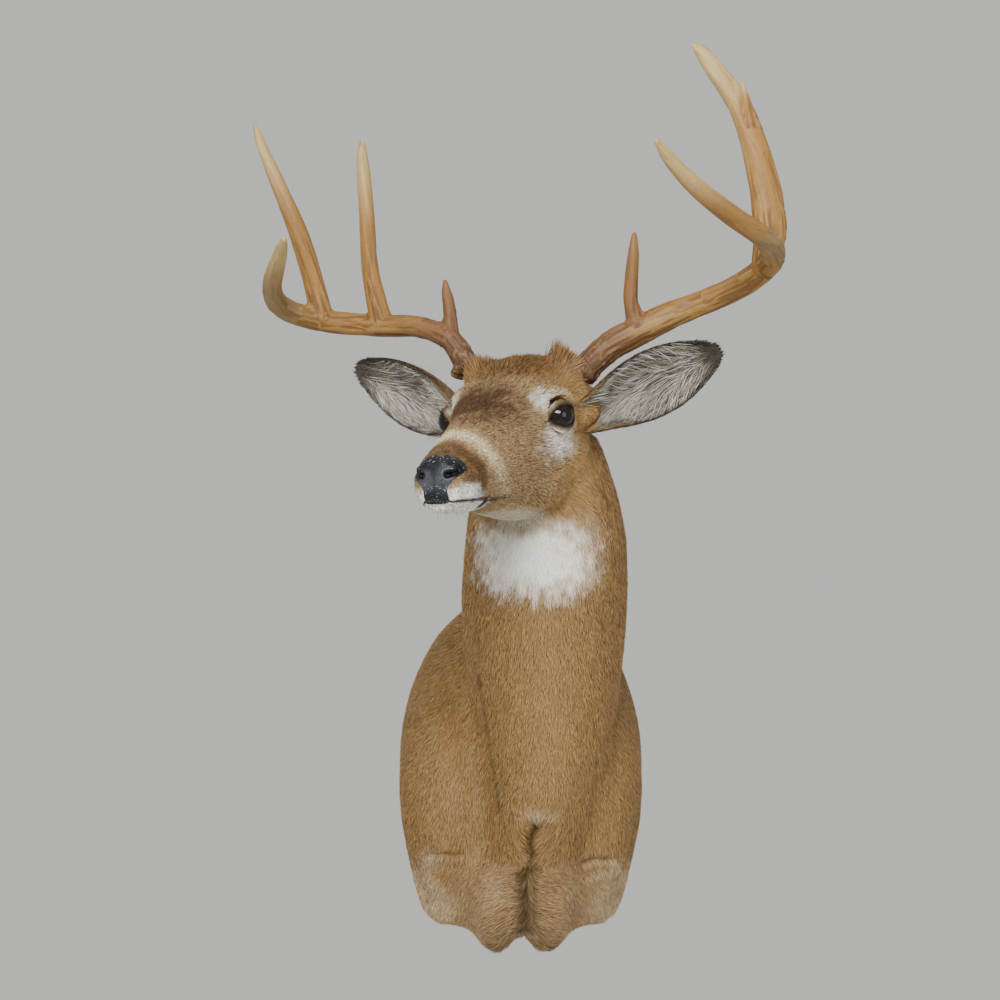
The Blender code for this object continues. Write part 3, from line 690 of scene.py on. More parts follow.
def markings_and_shade(points):
    """The coat's colour at world points, linear, with painted shade at the sides and creases."""
    h = in_head(points)
    m = mirrored(h)
    w = points / MM
    c = np.tile(TAN, (len(points), 1))
    # painted shade, partly real darker hair: the shoulders and the top of the neck darken towards the wall
    c = paint(c, FLANK_HAIR_AND_SHADE, 0.8 * step(w[:, 1], -190, -60) * step(w[:, 2], 260, 120))
    c = paint(c, FLANK_HAIR_AND_SHADE * 0.85, 0.7 * step(w[:, 1], -120, -60) * step(w[:, 2], 120, 260))
    c = paint(
        c, BRISKET,
        step(w[:, 2] + 9 * noise(points, 24, 12), -58, -108) * step(np.abs(w[:, 0] - 5), 90, 60),
    )
    c = paint(c, STUMP, patch(w, (-96, -90, -130), (34, 90, 44), 0.35))
    c = paint(c, STUMP * 0.9, patch(w, (100, -90, -130), (32, 90, 44), 0.35))
    c = paint(c, CREAM, 0.3 * patch(w, (-101, -165, -84), (18, 16, 9), 1.0, 0.5))
    c = paint(c, CREAM, 0.3 * patch(w, (98, -165, -94), (21, 18, 10), 1.0, 0.5))
    # painted shade: the hollow, the seam and the breast crease are darkened where shade gathers in them
    c = paint(c, CREASE_SHADE, 0.95 * stripe(w, HOLLOW, 6.5, 0.8, through=(1, 0.1, 1)))
    c = paint(c, CREASE_SHADE * 0.8, 0.85 * stripe(w, SEAM, 3.0, 0.8, through=(1, 0.1, 1)))
    c = paint(c, CREASE_SHADE, 0.6 * stripe(w, BREAST_CREASE, 2.4, 0.9, through=(1, 0.1, 1)))
    c = paint(c, CREAM, 0.28 * patch(w, (12, -248, -24), (20, 12, 6), 0.9, 0.4))
    c = paint(c, CREAM, 0.5 * patch(w, (62, -300, 246), (24, 30, 34), 0.8))
    c = paint(c, WHITE, patch(w, (4, -310, 246), (54, 72, 35), 0.5, 0.3, 3.0))
    head = step(h[:, 1], 66, 34) * step(h[:, 2], -122, -96)
    c = paint(c, CHEEK, head)
    face = step(h[:, 1], 18, -14) * step(h[:, 2], -96, -78)
    c = paint(c, GRIZZLE, face)
    c = paint(c, CROWN, patch(m, (0, 30, 50), (62, 58, 30), 0.45))
    c = paint(c, FOREHEAD, patch(h, (-8, -63, 6), (40, 48, 28), 0.6, 0.3))
    c = paint(c, CROWN * 0.8, 0.7 * patch(m, (8, 22, 52), (26, 34, 14), 0.6, 0.2))
    c = paint(c, mix(CREAM, WHITE, 0.6), 0.95 * patch(m, (57, -3, -30), (15, 26, 15), 0.85, 0.45))
    c = paint(c, CREAM, 0.6 * stripe(m, BROW_LINE, 3.4, 1.0))
    c = paint(c, WHITE, 0.75 * patch(m, (47, -21, 9), (11, 12, 8), 0.8, 0.45))
    c = paint(
        c, PALE_BAND,
        stripe(m, PALE_BAND_LINE, 8.0, 1.0) * mix(0.4, 0.9, step(h[:, 2], -66, -34)),
    )
    c = paint(c, BRIDGE, patch(m, (0, -156, -32), (24, 18, 16), 0.35))
    c = paint(c, RUST * 1.25, 0.9 * patch(m, (26, -150, -50), (15, 20, 15), 0.4, 0.2))
    c = paint(c, RUST, 0.95 * stripe(m, RUST_LINE, 7.5, 0.7))
    c = paint(c, UNDER_JAW, patch(m, (0, -30, -108), (34, 72, 22), 0.3))
    c = paint(c, WHITE, patch(m, (20, -158, -72), (15, 28, 10.5), 0.35, 0.2))
    c = paint(c, WHITE, step(h[:, 1], -98, -110) * step(h[:, 2], -77, -80))
    c = paint(c, DARK_SKIN, patch(m, (20, -112, -86), (12, 7, 11), 0.4, 0.2))
    c = paint(c, DARK_SKIN, 0.95 * stripe(m, MOUTH, 1.7, 0.5, through=(0.3, 0.8, 1)))
    c = paint(c, DARK_SKIN, 0.9 * stripe(m, TEAR_GROOVE, 1.9, 0.6, through=(0.3, 1, 1)))
    c = paint(c, DARK_SKIN * 1.6, 0.8 * patch(m, (77, 54, 19), (13, 11, 8), 0.5))
    tone = 1 + 0.07 * noise(points, 38, 8) + 0.05 * noise(points, 14, 9)
    return np.clip(c * tone[:, None], 0.004, 0.95)


NOSE_WIDTH = [
    (-82, 9), (-74, 12), (-64, 12.5), (-58, 17), (-52, 24), (-45, 27), (-38, 24), (-31, 14),
]


def on_nose(points):
    """1 on the bare leather of the nose, 0 off it."""
    h = in_head(points)
    half = along(NOSE_WIDTH, h[:, 2])
    side = step(np.abs(h[:, 0]) - half, 0.8, -0.8)
    back = along(
        [(-82, -171), (-64, -168), (-52, -161), (-42, -160), (-34, -164), (-28, -168)], h[:, 2],
    )
    return side * step(h[:, 1] - back, 0.8, -0.8) * step(h[:, 2], -79.5, -78) * step(
        h[:, 2] + 1.4 * noise(points, 5, 52), -33, -36.5,
    )


for word, place in {
    "throat": (9, -310, 238), "breast": (15, -260, 60), "shoulder": (-100, -110, 40),
}.items():
    print(word, np.round(markings_and_shade(np.array([place]) * MM)[0], 3))

# %% [markdown]
# ## The lie of the coat
# Hair on a deer runs back from the nose, over the crown and down the neck. On the breast it runs
# down to a hollow where both sides meet, and below that it parts from a seam and runs outwards.
# A direction at every place, laid flat on the skin, is what gives a coat its flow.

# %% Which way the hair lies
def lie(points, normals):
    """The way that the hair runs at each place, along the skin."""
    h = in_head(points)
    w = points / MM
    side = np.sign(h[:, 0])
    climb = 0.45 * step(h[:, 2], 0, 34) - 0.45 * step(h[:, 2], -34, -84)
    climb = climb + 0.9 * step(h[:, 2], 38, 52) * step(h[:, 1], -20, 15)
    on_head = np.stack([0.22 * side, np.ones(len(h)), climb], axis=1) @ HEAD_TURN.T
    dx = w[:, 0] - np.interp(w[:, 2], [-160, -80, -35], [4, 6, 15])
    away = np.tanh(dx / 2.5)
    down = np.stack([0.10 * away, 0.12 + 0.4 * step(w[:, 1], -190, -80), -np.ones(len(w))], axis=1)
    meet = step(w[:, 2], 12, -50) * np.exp(-((np.abs(dx) / 42) ** 2))
    down[:, 0] -= away * 1.3 * meet * step(np.abs(dx), 0, 6)
    spread = step(np.abs(dx), 5, 75)
    parted = np.stack([away * (1.15 - 0.5 * spread), 0.25 + 0 * dx, -0.25 - 1.0 * spread], axis=1)
    below = step(w[:, 2] + 0.08 * np.abs(dx), -70, -90)
    on_body = unit(down) * (1 - below)[:, None] + unit(parted) * below[:, None]
    head = step(h[:, 1], 85, 30) * step(h[:, 2], -128, -92)
    way = on_body * (1 - head)[:, None] + unit(on_head) * head[:, None]
    way = way + 0.10 * np.stack([noise(points, 20, s) for s in (21, 22, 23)], axis=1)
    way = way - normals * np.sum(way * normals, axis=1)[:, None]
    return unit(way)


print("lie at the breast", lie(np.array([[0.015, -0.26, 0.06]]), np.array([[0, -1.0, 0]]))[0])

# %% [markdown]
# ## Unwrapping the skin
# The coat's hairs are too fine to unwrap one by one. Each takes a small patch of the picture at its
# root, so the skin is unwrapped first, by its own shape, into islands of nearly flat faces.

# %% Unwrap the skin
def unwrap(obj, margin=0.002):
    bpy.ops.object.select_all(action="DESELECT")
    obj.select_set(True)
    bpy.context.view_layer.objects.active = obj
    obj.data.uv_layers.new(name="OFBake")
    bpy.ops.object.mode_set(mode="EDIT")
    bpy.ops.mesh.select_all(action="SELECT")
    bpy.ops.uv.smart_project(angle_limit=math.radians(66), island_margin=margin)
    bpy.ops.object.mode_set(mode="OBJECT")


unwrap(skin)
print("unwrapped", len(skin.data.loops), "corners")

# %% [markdown]
# ## Colour and bump of the skin
# The skin shows between the tufts as the short under-fur: the same markings, darker, over a bump of
# fine streaks. The colours go into a colour attribute, which the material reads.

# %% Give the skin its colours and material
def set_colours(mesh, name, colours):
    layer = mesh.color_attributes.new(name, "FLOAT_COLOR", "POINT")
    values = np.ones((len(colours), 4), np.float32)
    values[:, :3] = colours
    layer.data.foreach_set("color", values.ravel())
    mesh.color_attributes.active_color = layer


EAR_GREY = linear("#6E665B")
EAR_BACK = linear("#7A6142")
EAR_RIM = linear("#241A13")
UNDER_FUR = 0.62
points = vertex_array(skin.data)
colours = markings_and_shade(points)
white = step(colours.mean(axis=1), 0.25, 0.7)
colours = colours * (UNDER_FUR + (0.95 - UNDER_FUR) * white)[:, None]


def read_layer(mesh, name):
    values = np.zeros(len(mesh.vertices), np.float32)
    mesh.attributes[name].data.foreach_get("value", values)
    return values.astype(float)


skin_ear = {name: read_layer(skin.data, name) for name in EAR_LAYERS}
skin_bare = read_layer(skin.data, "bare")


def ear_colours(points, ear):
    """The ear's colours: grey inside, brown behind, black-brown at the rim and the tip."""
    u, v, cup = ear["ear_u"], np.abs(ear["ear_v"]), ear["ear_cup"]
    rag = 0.02 * noise(points, 5, 31)
    c = paint(np.tile(EAR_BACK, (len(u), 1)), EAR_GREY, cup)
    c = paint(c, TAN, 0.8 * cup * step(u + rag, 0.3, 0.1))
    edge = step(v + 1.6 * rag, 0.39, 0.46) * step(u, 0.15, 0.4)
    tip = step(u + rag * 3, 0.80, 0.92)
    return paint(c, EAR_RIM, np.maximum(edge, tip) * (0.92 - 0.25 * cup))


on_ear = np.abs(skin_ear["ear_side"]) > 0.5
colours[on_ear] = ear_colours(points[on_ear], {k: a[on_ear] for k, a in skin_ear.items()}) * 0.8
colours = paint(colours, DARK_SKIN, skin_bare)
colours = paint(colours, linear("#2B2E31"), on_nose(points) * ~on_ear)
set_colours(skin.data, "fur_colour", colours)


def fur_skin_material():
    made, tree, shader = new_material("under_fur")  # short dense fur on tanned hide
    colour = node(tree, "ShaderNodeAttribute", {"attribute_name": "fur_colour"})
    place = node(tree, "ShaderNodeTexCoord")
    streak = node(
        tree, "ShaderNodeMapping", {"Scale": (1, 1, 0.22)}, Vector=place.outputs["Object"],
    )
    fine = node(
        tree, "ShaderNodeTexNoise", {"Scale": 900, "Detail": 4, "Roughness": 0.7},
        Vector=streak.outputs[0],
    )
    coarse = node(tree, "ShaderNodeTexNoise", {"Scale": 220, "Detail": 3}, Vector=streak.outputs[0])
    tone = node(
        tree, "ShaderNodeMapRange",
        {"From Min": 0.3, "From Max": 0.7, "To Min": 0.6, "To Max": 1.35},
        Value=fine.outputs["Fac"],
    )
    mixed = node(
        tree, "ShaderNodeVectorMath", {"operation": "SCALE"}, _0=colour.outputs["Color"],
        Scale=tone.outputs[0],
    )
    tree.links.new(mixed.outputs[0], shader.inputs["Base Color"])
    height = node(
        tree, "ShaderNodeMath", {"operation": "ADD"}, _0=fine.outputs["Fac"],
        _1=coarse.outputs["Fac"],
    )
    bump = node(
        tree, "ShaderNodeBump", {"Strength": 0.8, "Distance": 0.5 * MM},
        Height=height.outputs[0],
    )
    tree.links.new(bump.outputs[0], shader.inputs["Normal"])
    shader.inputs["Roughness"].default_value = 0.85
    shader.inputs["Specular IOR Level"].default_value = 0.2
    return made


skin.data.materials.clear()
skin.data.materials.append(fur_skin_material())
skin.data.polygons.foreach_set("material_index", [0] * len(skin.data.polygons))
skin.data.polygons.foreach_set("use_smooth", [True] * len(skin.data.polygons))
print("skin coloured")

# %% [markdown]
# ## The coat
# A guard hair on a deer is coarse and lies flat, and neighbours clump into small pointed locks. A
# tuft here is a strip of two or three faces that tapers to a point, rises off the skin and lies
# back along it. All the tufts of a region are written into one mesh straight from number arrays,
# because a modifier for half a million strips would be slower and no different. Each tuft has its
# own shade, dark at the root and paler near the tip, as a hair is banded.

# %% Scatter roots over the skin and build the tufts
random = np.random.default_rng(41)
CORNERS = np.empty(len(skin.data.loops), np.int32)
skin.data.loops.foreach_get("vertex_index", CORNERS)
FACES = CORNERS.reshape(-1, 3)
SKIN_POINTS = vertex_array(skin.data)
SKIN_NORMALS = normal_array(skin.data)
uv_values = np.empty(len(skin.data.loops) * 2, np.float32)
skin.data.uv_layers["OFBake"].data.foreach_get("uv", uv_values)
SKIN_UV = uv_values.reshape(-1, 3, 2)


def blend_corners(values, faces, shares):
    """Corner values of the faces, blended by the shares of each corner."""
    return np.einsum("nk,nk...->n...", shares, values[FACES[faces]])


def scatter(density, count):
    """Places on the skin, count in all, spread by a density at each face: faces and shares."""
    a, b, c = (SKIN_POINTS[FACES[:, k]] for k in range(3))
    area = np.linalg.norm(np.cross(b - a, c - a), axis=1) / 2 * density
    reach = np.cumsum(area) / area.sum()
    at = (np.arange(count) + random.random(count)) / count
    faces = np.minimum(np.searchsorted(reach, at), len(FACES) - 1)
    s, t = random.random(count), random.random(count)
    over = s + t > 1
    s, t = np.where(over, 1 - s, s), np.where(over, 1 - t, t)
    return faces, np.stack([1 - s - t, s, t], axis=1)


def turning(faces, ways):
    """How fast the skin curves away along the way, per metre, at each place."""
    a, b, c = (SKIN_POINTS[FACES[faces, k]] for k in range(3))
    na, nb, nc = (SKIN_NORMALS[FACES[faces, k]] for k in range(3))
    e1, e2 = b - a, c - a
    g11, g12, g22 = (np.sum(p * q, axis=1) for p, q in ((e1, e1), (e1, e2), (e2, e2)))
    d1, d2 = np.sum(ways * e1, axis=1), np.sum(ways * e2, axis=1)
    det = np.maximum(g11 * g22 - g12 * g12, 1e-18)
    s, t = (g22 * d1 - g12 * d2) / det, (g11 * d2 - g12 * d1) / det
    change = (nb - na) * s[:, None] + (nc - na) * t[:, None]
    return np.clip(np.sum(change * ways, axis=1), -40, 60)


def tuft_mesh(name, roots, normals, ways, bends, length, width, lift, tones, uvs, segments):
    """One mesh of tapering strips. Tones are root, middle and tip colours for each tuft."""
    count = len(roots)
    side = unit(np.cross(normals, ways) + 0.35 * normals * random.normal(size=(count, 1)))
    per = 2 * segments + 1
    points = np.empty((count, per, 3))
    colours = np.ones((count, per, 4), np.float32)
    uv = np.empty((count, per, 2), np.float32)
    for k in range(segments + 1):
        t = k / segments
        run = length * t
        rise = lift * (1 - (1 - t) ** 1.7) - 0.35 * MM * (k == 0) - 0.5 * bends * run**2
        spine = roots + ways * run[:, None] + normals * rise[:, None]
        tone = tones[0] + (tones[1] - tones[0]) * min(1, 2 * t)
        tone = tone + (tones[2] - tones[1]) * max(0, 2 * t - 1)
        if k < segments:
            half = (width * (0.5 if k else 0.42))[:, None]
            points[:, 2 * k] = spine - side * half
            points[:, 2 * k + 1] = spine + side * half
            colours[:, 2 * k, :3] = colours[:, 2 * k + 1, :3] = tone
            uv[:, 2 * k] = uvs + np.array([-0.0015, 0.003 * t - 0.0015])
            uv[:, 2 * k + 1] = uvs + np.array([0.0015, 0.003 * t - 0.0015])
        else:
            points[:, -1] = spine
            colours[:, -1, :3] = tone
            uv[:, -1] = uvs + np.array([0, 0.0015])
    pattern = []
    for k in range(segments - 1):
        a = 2 * k
        pattern += [(a, a + 1, a + 3), (a, a + 3, a + 2)]
    pattern.append((per - 3, per - 2, per - 1))
    pattern = np.array(pattern)
    corner = (pattern[None] + per * np.arange(count)[:, None, None]).reshape(-1)
    mesh = bpy.data.meshes.new(name)
    mesh.vertices.add(count * per)
    mesh.loops.add(len(corner))
    mesh.polygons.add(len(corner) // 3)
    mesh.vertices.foreach_set("co", points.astype(np.float32).ravel())
    mesh.loops.foreach_set("vertex_index", corner.astype(np.int32))
    mesh.polygons.foreach_set("loop_start", np.arange(0, len(corner), 3, dtype=np.int32))
    mesh.polygons.foreach_set("use_smooth", np.ones(len(corner) // 3, bool))
    mesh.update(calc_edges=True)
    layer = mesh.color_attributes.new("fur_colour", "FLOAT_COLOR", "POINT")
    layer.data.foreach_set("color", colours.ravel())
    unwrapped = mesh.uv_layers.new(name="OFBake")
    unwrapped.data.foreach_set("uv", np.clip(uv.reshape(-1, 2)[corner], 0.001, 0.999).ravel())
    return mesh


def hair_material(name, rough, shine):
    made, tree, shader = new_material(name)
    colour = node(tree, "ShaderNodeAttribute", {"attribute_name": "fur_colour"})
    place = node(tree, "ShaderNodeTexCoord")
    fine = node(
        tree, "ShaderNodeTexNoise", {"Scale": 700, "Detail": 2}, Vector=place.outputs["Object"],
    )
    tone = node(
        tree, "ShaderNodeMapRange",
        {"From Min": 0.3, "From Max": 0.7, "To Min": 0.85, "To Max": 1.15},
        Value=fine.outputs["Fac"],
    )
    mixed = node(
        tree, "ShaderNodeVectorMath", {"operation": "SCALE"}, _0=colour.outputs["Color"],
        Scale=tone.outputs[0],
    )
    tree.links.new(mixed.outputs[0], shader.inputs["Base Color"])
    shader.inputs["Roughness"].default_value = rough
    shader.inputs["Specular IOR Level"].default_value = shine
    return made


GUARD_HAIR = hair_material("guard_hair", 0.55, 0.35)
MOST_TUFTS = {2: 62000, 3: 38500}  # keeps each piece under 200,000 triangles
coat_pieces = []


def add_coat(name, faces, shares, ways, length, width, lift, tones, segments=2):
    """Builds the tufts in pieces of at most 200,000 triangles."""
    roots = blend_corners(SKIN_POINTS, faces, shares)
    normals = unit(blend_corners(SKIN_NORMALS, faces, shares))
    ways = unit(ways - normals * np.sum(ways * normals, axis=1)[:, None])
    bends = turning(faces, ways)
    uvs = np.einsum("nk,nkc->nc", shares, SKIN_UV[faces])
    parts = math.ceil(len(faces) / MOST_TUFTS[segments])
    for number, rows in enumerate(np.array_split(np.arange(len(faces)), parts), 1):
        mesh = tuft_mesh(
            f"{name}_{number}", roots[rows], normals[rows], ways[rows], bends[rows], length[rows],
            width[rows], lift[rows], [t[rows] for t in tones], uvs[rows], segments,
        )
        mesh.materials.append(GUARD_HAIR)
        coat_pieces.append(new_object(f"{name}_{number}", mesh))
    print(name, len(faces), "tufts in", parts, "pieces")


def face_values(values):
    return values[FACES].mean(axis=1)


MIDDLES = face_values(SKIN_POINTS)
HEAD_MIDDLES = in_head(MIDDLES)
is_ear = face_values(np.abs(skin_ear["ear_side"])) > 0.5
hairless = np.maximum(face_values(skin_bare), on_nose(MIDDLES) * ~is_ear) > 0.5
in_wall = MIDDLES[:, 1] > -1.5 * MM
on_the_head = step(HEAD_MIDDLES[:, 1], 72, 44) * step(HEAD_MIDDLES[:, 2], -126, -104) * ~is_ear
lip_gap = stripe(mirrored(HEAD_MIDDLES), MOUTH, 1.5, 0.5, through=(0.3, 0.8, 1))
share_face = on_the_head * (1 - 0.9 * lip_gap) * (0.7 + 0.9 * step(HEAD_MIDDLES[:, 1], -20, -100))


def shades(colours, spread, dark=0.5, bright=1.2):
    """Root, middle and tip colours with each tuft's own shade; white hair is white throughout."""
    own = np.exp(spread * random.normal(size=len(colours)))[:, None]
    white = step(colours.mean(axis=1, keepdims=True), 0.25, 0.7)
    own = own + (1 - own) * 0.7 * white
    root = colours * own * (dark + (0.92 - dark) * white)
    return [root, np.clip(colours * own, 0, 0.95), np.clip(colours * own * bright, 0, 0.95)]


def scattered_way(points, normals, spread):
    """The lie of the coat, with each tuft turned a little its own way."""
    way = lie(points, normals)
    cross = np.cross(normals, way)
    return unit(way + cross * spread * random.normal(size=(len(way), 1)))


BODY_TUFTS = 300000
HEAD_TUFTS = 120000

faces, shares = scatter((1 - on_the_head) * ~is_ear * ~in_wall, BODY_TUFTS)
roots = blend_corners(SKIN_POINTS, faces, shares)
normals = unit(blend_corners(SKIN_NORMALS, faces, shares))
low = step(roots[:, 2], -0.06, -0.11)
own = random.random(len(roots))
ways = scattered_way(roots, normals, 0.16)
length = (6.2 + 5 * low + 2.8 * own) * MM
to_wall = (-roots[:, 1] - 0.5 * MM) / np.maximum(ways[:, 1], 0.05)
length = np.clip(np.minimum(length, to_wall), 0.5 * MM, None)
add_coat(
    "coat_body", faces, shares, ways, length,
    (0.36 + 0.18 * random.random(len(roots)) + 0.15 * low) * MM,
    (coat_depth(roots) * (0.4 + 0.4 * random.random(len(roots)))) * np.minimum(1, length / (6 * MM)) * MM,
    shades(markings_and_shade(roots), 0.2),
)

faces, shares = scatter(share_face * ~hairless * ~is_ear, HEAD_TUFTS)
roots = blend_corners(SKIN_POINTS, faces, shares)
normals = unit(blend_corners(SKIN_NORMALS, faces, shares))
h = in_head(roots)
crown = step(h[:, 2], 30, 46) * step(h[:, 1], -45, -10)
forward = step(h[:, 1], -30, -120)
length = (6.5 - 3.0 * forward + 7 * crown + 2 * random.random(len(roots))) * MM
ways = scattered_way(roots, normals, 0.16)
pedicle = patch(mirrored(h), (50, 54, 46), (27, 27, 18), 0.4)
cowlick = patch(h, (37, 45, 50), (10, 11, 16), 0.3)  # the tuft before the left antler
length = length + (3 * pedicle + 4 * cowlick) * MM
lift = coat_depth(roots) * (0.5 + 0.5 * random.random(len(roots))) * (1 + 0.5 * crown)
lift = (
    (lift + pedicle * 4 * random.random(len(roots)) + cowlick * 13 * random.random(len(roots)))
    * MM
)
tones = shades(markings_and_shade(roots), 0.2)
grizzled = step(h[:, 1], 30, -10) * step(h[:, 2], -98, -84)
dark_crown = patch(mirrored(h), (6, 20, 54), (44, 46, 20), 0.5)
dark_tip = random.random(len(roots)) < 0.34 * grizzled + 0.35 * dark_crown
pale_tip = random.random(len(roots)) < 0.28 * grizzled + 0.1
tones[1][dark_tip] *= 0.4
tones[2][dark_tip] *= 0.22
tones[2][pale_tip] = np.clip(tones[2][pale_tip] * 1.8, 0, 0.9)
add_coat(
    "coat_head", faces, shares, ways, length,
    (0.42 + 0.14 * random.random(len(roots)) + 0.2 * crown) * MM, lift, tones,
)

# %% [markdown]
# ## The ears' hair
# The back of an ear has short brown hair that lies towards the tip. Inside, long pale hairs grow
# from both edges and from the root, curl across the cup and leave the grey skin showing between.

# %% Cover the ears
def ear_ways(faces, shares):
    """Towards the tip of each ear, and the ear's own places."""
    place = {k: blend_corners(a, faces, shares) for k, a in skin_ear.items()}
    reach = np.where(place["ear_side"][:, None] > 0, ears[1].reach, ears[-1].reach)
    across = np.where(place["ear_side"][:, None] > 0, ears[1].across, ears[-1].across)
    return reach, across, place


EAR_TUFTS = 26000
EAR_LONG_HAIRS = 7000
inside = face_values(skin_ear["ear_cup"]) > 0.5
faces, shares = scatter(is_ear * np.where(inside, 0.45, 1.0), EAR_TUFTS)
roots = blend_corners(SKIN_POINTS, faces, shares)
normals = unit(blend_corners(SKIN_NORMALS, faces, shares))
reach, across, place = ear_ways(faces, shares)
way = reach - across * (np.sign(place["ear_v"]) * 0.35 * place["ear_cup"])[:, None]
way = unit(way + 0.25 * random.normal(size=way.shape))
tones = shades(ear_colours(roots, place), 0.18, 0.7, 1.15)
add_coat(
    "coat_ears", faces, shares, way, (5 + 3 * random.random(len(roots))) * MM,
    (0.5 + 0.15 * random.random(len(roots))) * MM,
    (0.7 + 0.7 * random.random(len(roots))) * MM, tones, segments=2,
)

edge = np.abs(face_values(skin_ear["ear_v"]))
root_end = face_values(skin_ear["ear_u"])
weight = (
    is_ear * inside * (0.25 + 1.6 * step(edge, 0.28, 0.46) + 1.5 * step(root_end, 0.4, 0.1))
    * step(root_end, 0.84, 0.64) * step(root_end, 0.04, 0.1)
)
faces, shares = scatter(weight, EAR_LONG_HAIRS)
roots = blend_corners(SKIN_POINTS, faces, shares)
normals = unit(blend_corners(SKIN_NORMALS, faces, shares))
reach, across, place = ear_ways(faces, shares)
inwards = -np.sign(place["ear_v"]) * step(np.abs(place["ear_v"]), 0.12, 0.4)
way = reach * 0.75 + across * inwards[:, None] * (0.5 + 0.5 * random.random((len(roots), 1)))
way = unit(way + 0.22 * np.stack([noise(roots, 11, s) for s in (41, 42, 43)], axis=1))
pale = paint(
    np.tile(linear("#8F8574"), (len(roots), 1)), linear("#EFE9DC"),
    random.random(len(roots)) ** 1.3,
)
add_coat(
    "coat_ear_hair", faces, shares, way, (14 + 14 * random.random(len(roots))) * MM,
    (0.38 + 0.15 * random.random(len(roots))) * MM,
    (3.0 + 4.5 * random.random(len(roots))) * MM,
    [pale * 0.4, pale * 0.68, pale * 0.95], segments=3,
)

# %% [markdown]
# ## Glass eyes
# A taxidermy eye is a glass shell, painted behind: a wide dark pupil that lies level, a dark brown
# iris and a nearly black rim, under a clear bulging cornea. The ball is a fine sphere with the
# cornea's bulge, the painting is a colour attribute, and a very low roughness gives the glass.

# %% Make the eyes
def glass_eye(name, eye, around=96, rows=64):
    bm = bmesh.new()
    bmesh.ops.create_uvsphere(bm, u_segments=around, v_segments=rows, radius=1)
    frame3 = np.stack([eye.fore, eye.up, eye.out], axis=1)
    tints = []
    for vert in bm.verts:
        x, y, z = vert.co
        off = math.degrees(math.acos(max(-1, min(1, z))))
        bulge = 1.1 * float(step(np.array(off), 44.0, 20.0))
        level = math.hypot(x / 0.44, y / 0.27)
        spoke = 1 + 0.25 * math.sin(math.atan2(y, x) * 37 + 3 * math.sin(math.atan2(y, x) * 11))
        iris = np.array([0.009, 0.0045, 0.003]) * spoke
        tint = mix(np.array([0.004, 0.004, 0.006]), iris, float(step(np.array(level), 0.92, 1.12)))
        tint = mix(tint, np.array([0.006, 0.004, 0.003]), float(step(np.array(off), 36.0, 44.0)))
        tints.append(tint)
        flat, high = math.degrees(math.atan2(x, z)), math.degrees(math.asin(max(-1, min(1, y))))
        seen = math.hypot(flat / 66, high / 44)  # 1 just outside the lids' edge
        shrink = 1 - 0.22 * float(step(np.array(seen), 1.0, 1.5))
        local = np.array([x, y, z]) * (EYE_RADIUS - 0.3) * shrink + np.array([0, 0, bulge])
        vert.co = from_head(eye.centre + frame3 @ local)
    bmesh.ops.recalc_face_normals(bm, faces=bm.faces)
    mesh = bpy.data.meshes.new(name)
    bm.to_mesh(mesh)
    bm.free()
    set_colours(mesh, "painting", np.array(tints))
    mesh.polygons.foreach_set("use_smooth", [True] * len(mesh.polygons))
    return new_object(name, mesh)


def glass_material():
    made, tree, shader = new_material("eye_glass")  # painted glass
    colour = node(tree, "ShaderNodeAttribute", {"attribute_name": "painting"})
    tree.links.new(colour.outputs["Color"], shader.inputs["Base Color"])
    place = node(tree, "ShaderNodeTexCoord")
    smear = node(
        tree, "ShaderNodeTexNoise", {"Scale": 60, "Detail": 2}, Vector=place.outputs["Object"],
    )
    rough = node(
        tree, "ShaderNodeMapRange", {"To Min": 0.02, "To Max": 0.06},
        Value=smear.outputs["Fac"],
    )
    tree.links.new(rough.outputs[0], shader.inputs["Roughness"])
    shader.inputs["IOR"].default_value = 1.52  # glass
    shader.inputs["Specular IOR Level"].default_value = 0.3
    return made


glass = glass_material()
eyes = {}
for side, word in ((1, "left"), (-1, "right")):
    eyes[word] = glass_eye(f"glass_eye_{word}", eye_frames[side])
    eyes[word].data.materials.append(glass)
print("eyes made")

# %% [markdown]
# ## Nose leather
# The nose is bare, wet-looking leather with a pebbled grain. It is cut out of the skin's own
# faces, raised a little, and small flattened domes are scattered over it with Geometry Nodes, each
# turned to the surface. They are thick low down and over the top edge, and sparse in the middle.

# %% Make the nose
def copy_of_skin(name, wanted, lift):
    """A copy of the skin's wanted faces, lifted off it."""
    bm = bmesh.new()
    bm.from_mesh(skin.data)
    bm.faces.ensure_lookup_table()
    bmesh.ops.delete(bm, geom=[bm.faces[i] for i in np.flatnonzero(~wanted)], context="FACES")
    bm.normal_update()
    for vert in bm.verts:
        vert.co += vert.normal * lift
    mesh = bpy.data.meshes.new(name)
    bm.to_mesh(mesh)
    bm.free()
    for layer in list(mesh.color_attributes):
        mesh.color_attributes.remove(layer)
    return new_object(name, mesh)


nose_faces = (on_nose(MIDDLES) > 0.35) & ~is_ear
nose = copy_of_skin("nose_leather", nose_faces, 0.25 * MM)
nose_points = vertex_array(nose.data)
h = in_head(nose_points)
smooth_patch = patch(mirrored(h), (9, -176, -58), (9, 12, 10), 0.5)
tint = paint(np.tile(linear("#101112"), (len(h), 1)), linear("#4B4E54"), 0.75 * smooth_patch)
tint = paint(tint, linear("#2C3035"), 0.4 * step(noise(nose_points, 4, 51), 0, 0.6))
hole, _ = to_path(mirrored(h), NOSTRIL[1:])
tint = paint(tint, linear("#0B0A0A"), step(hole, 5.0, 3.0))
set_colours(nose.data, "leather_colour", tint)


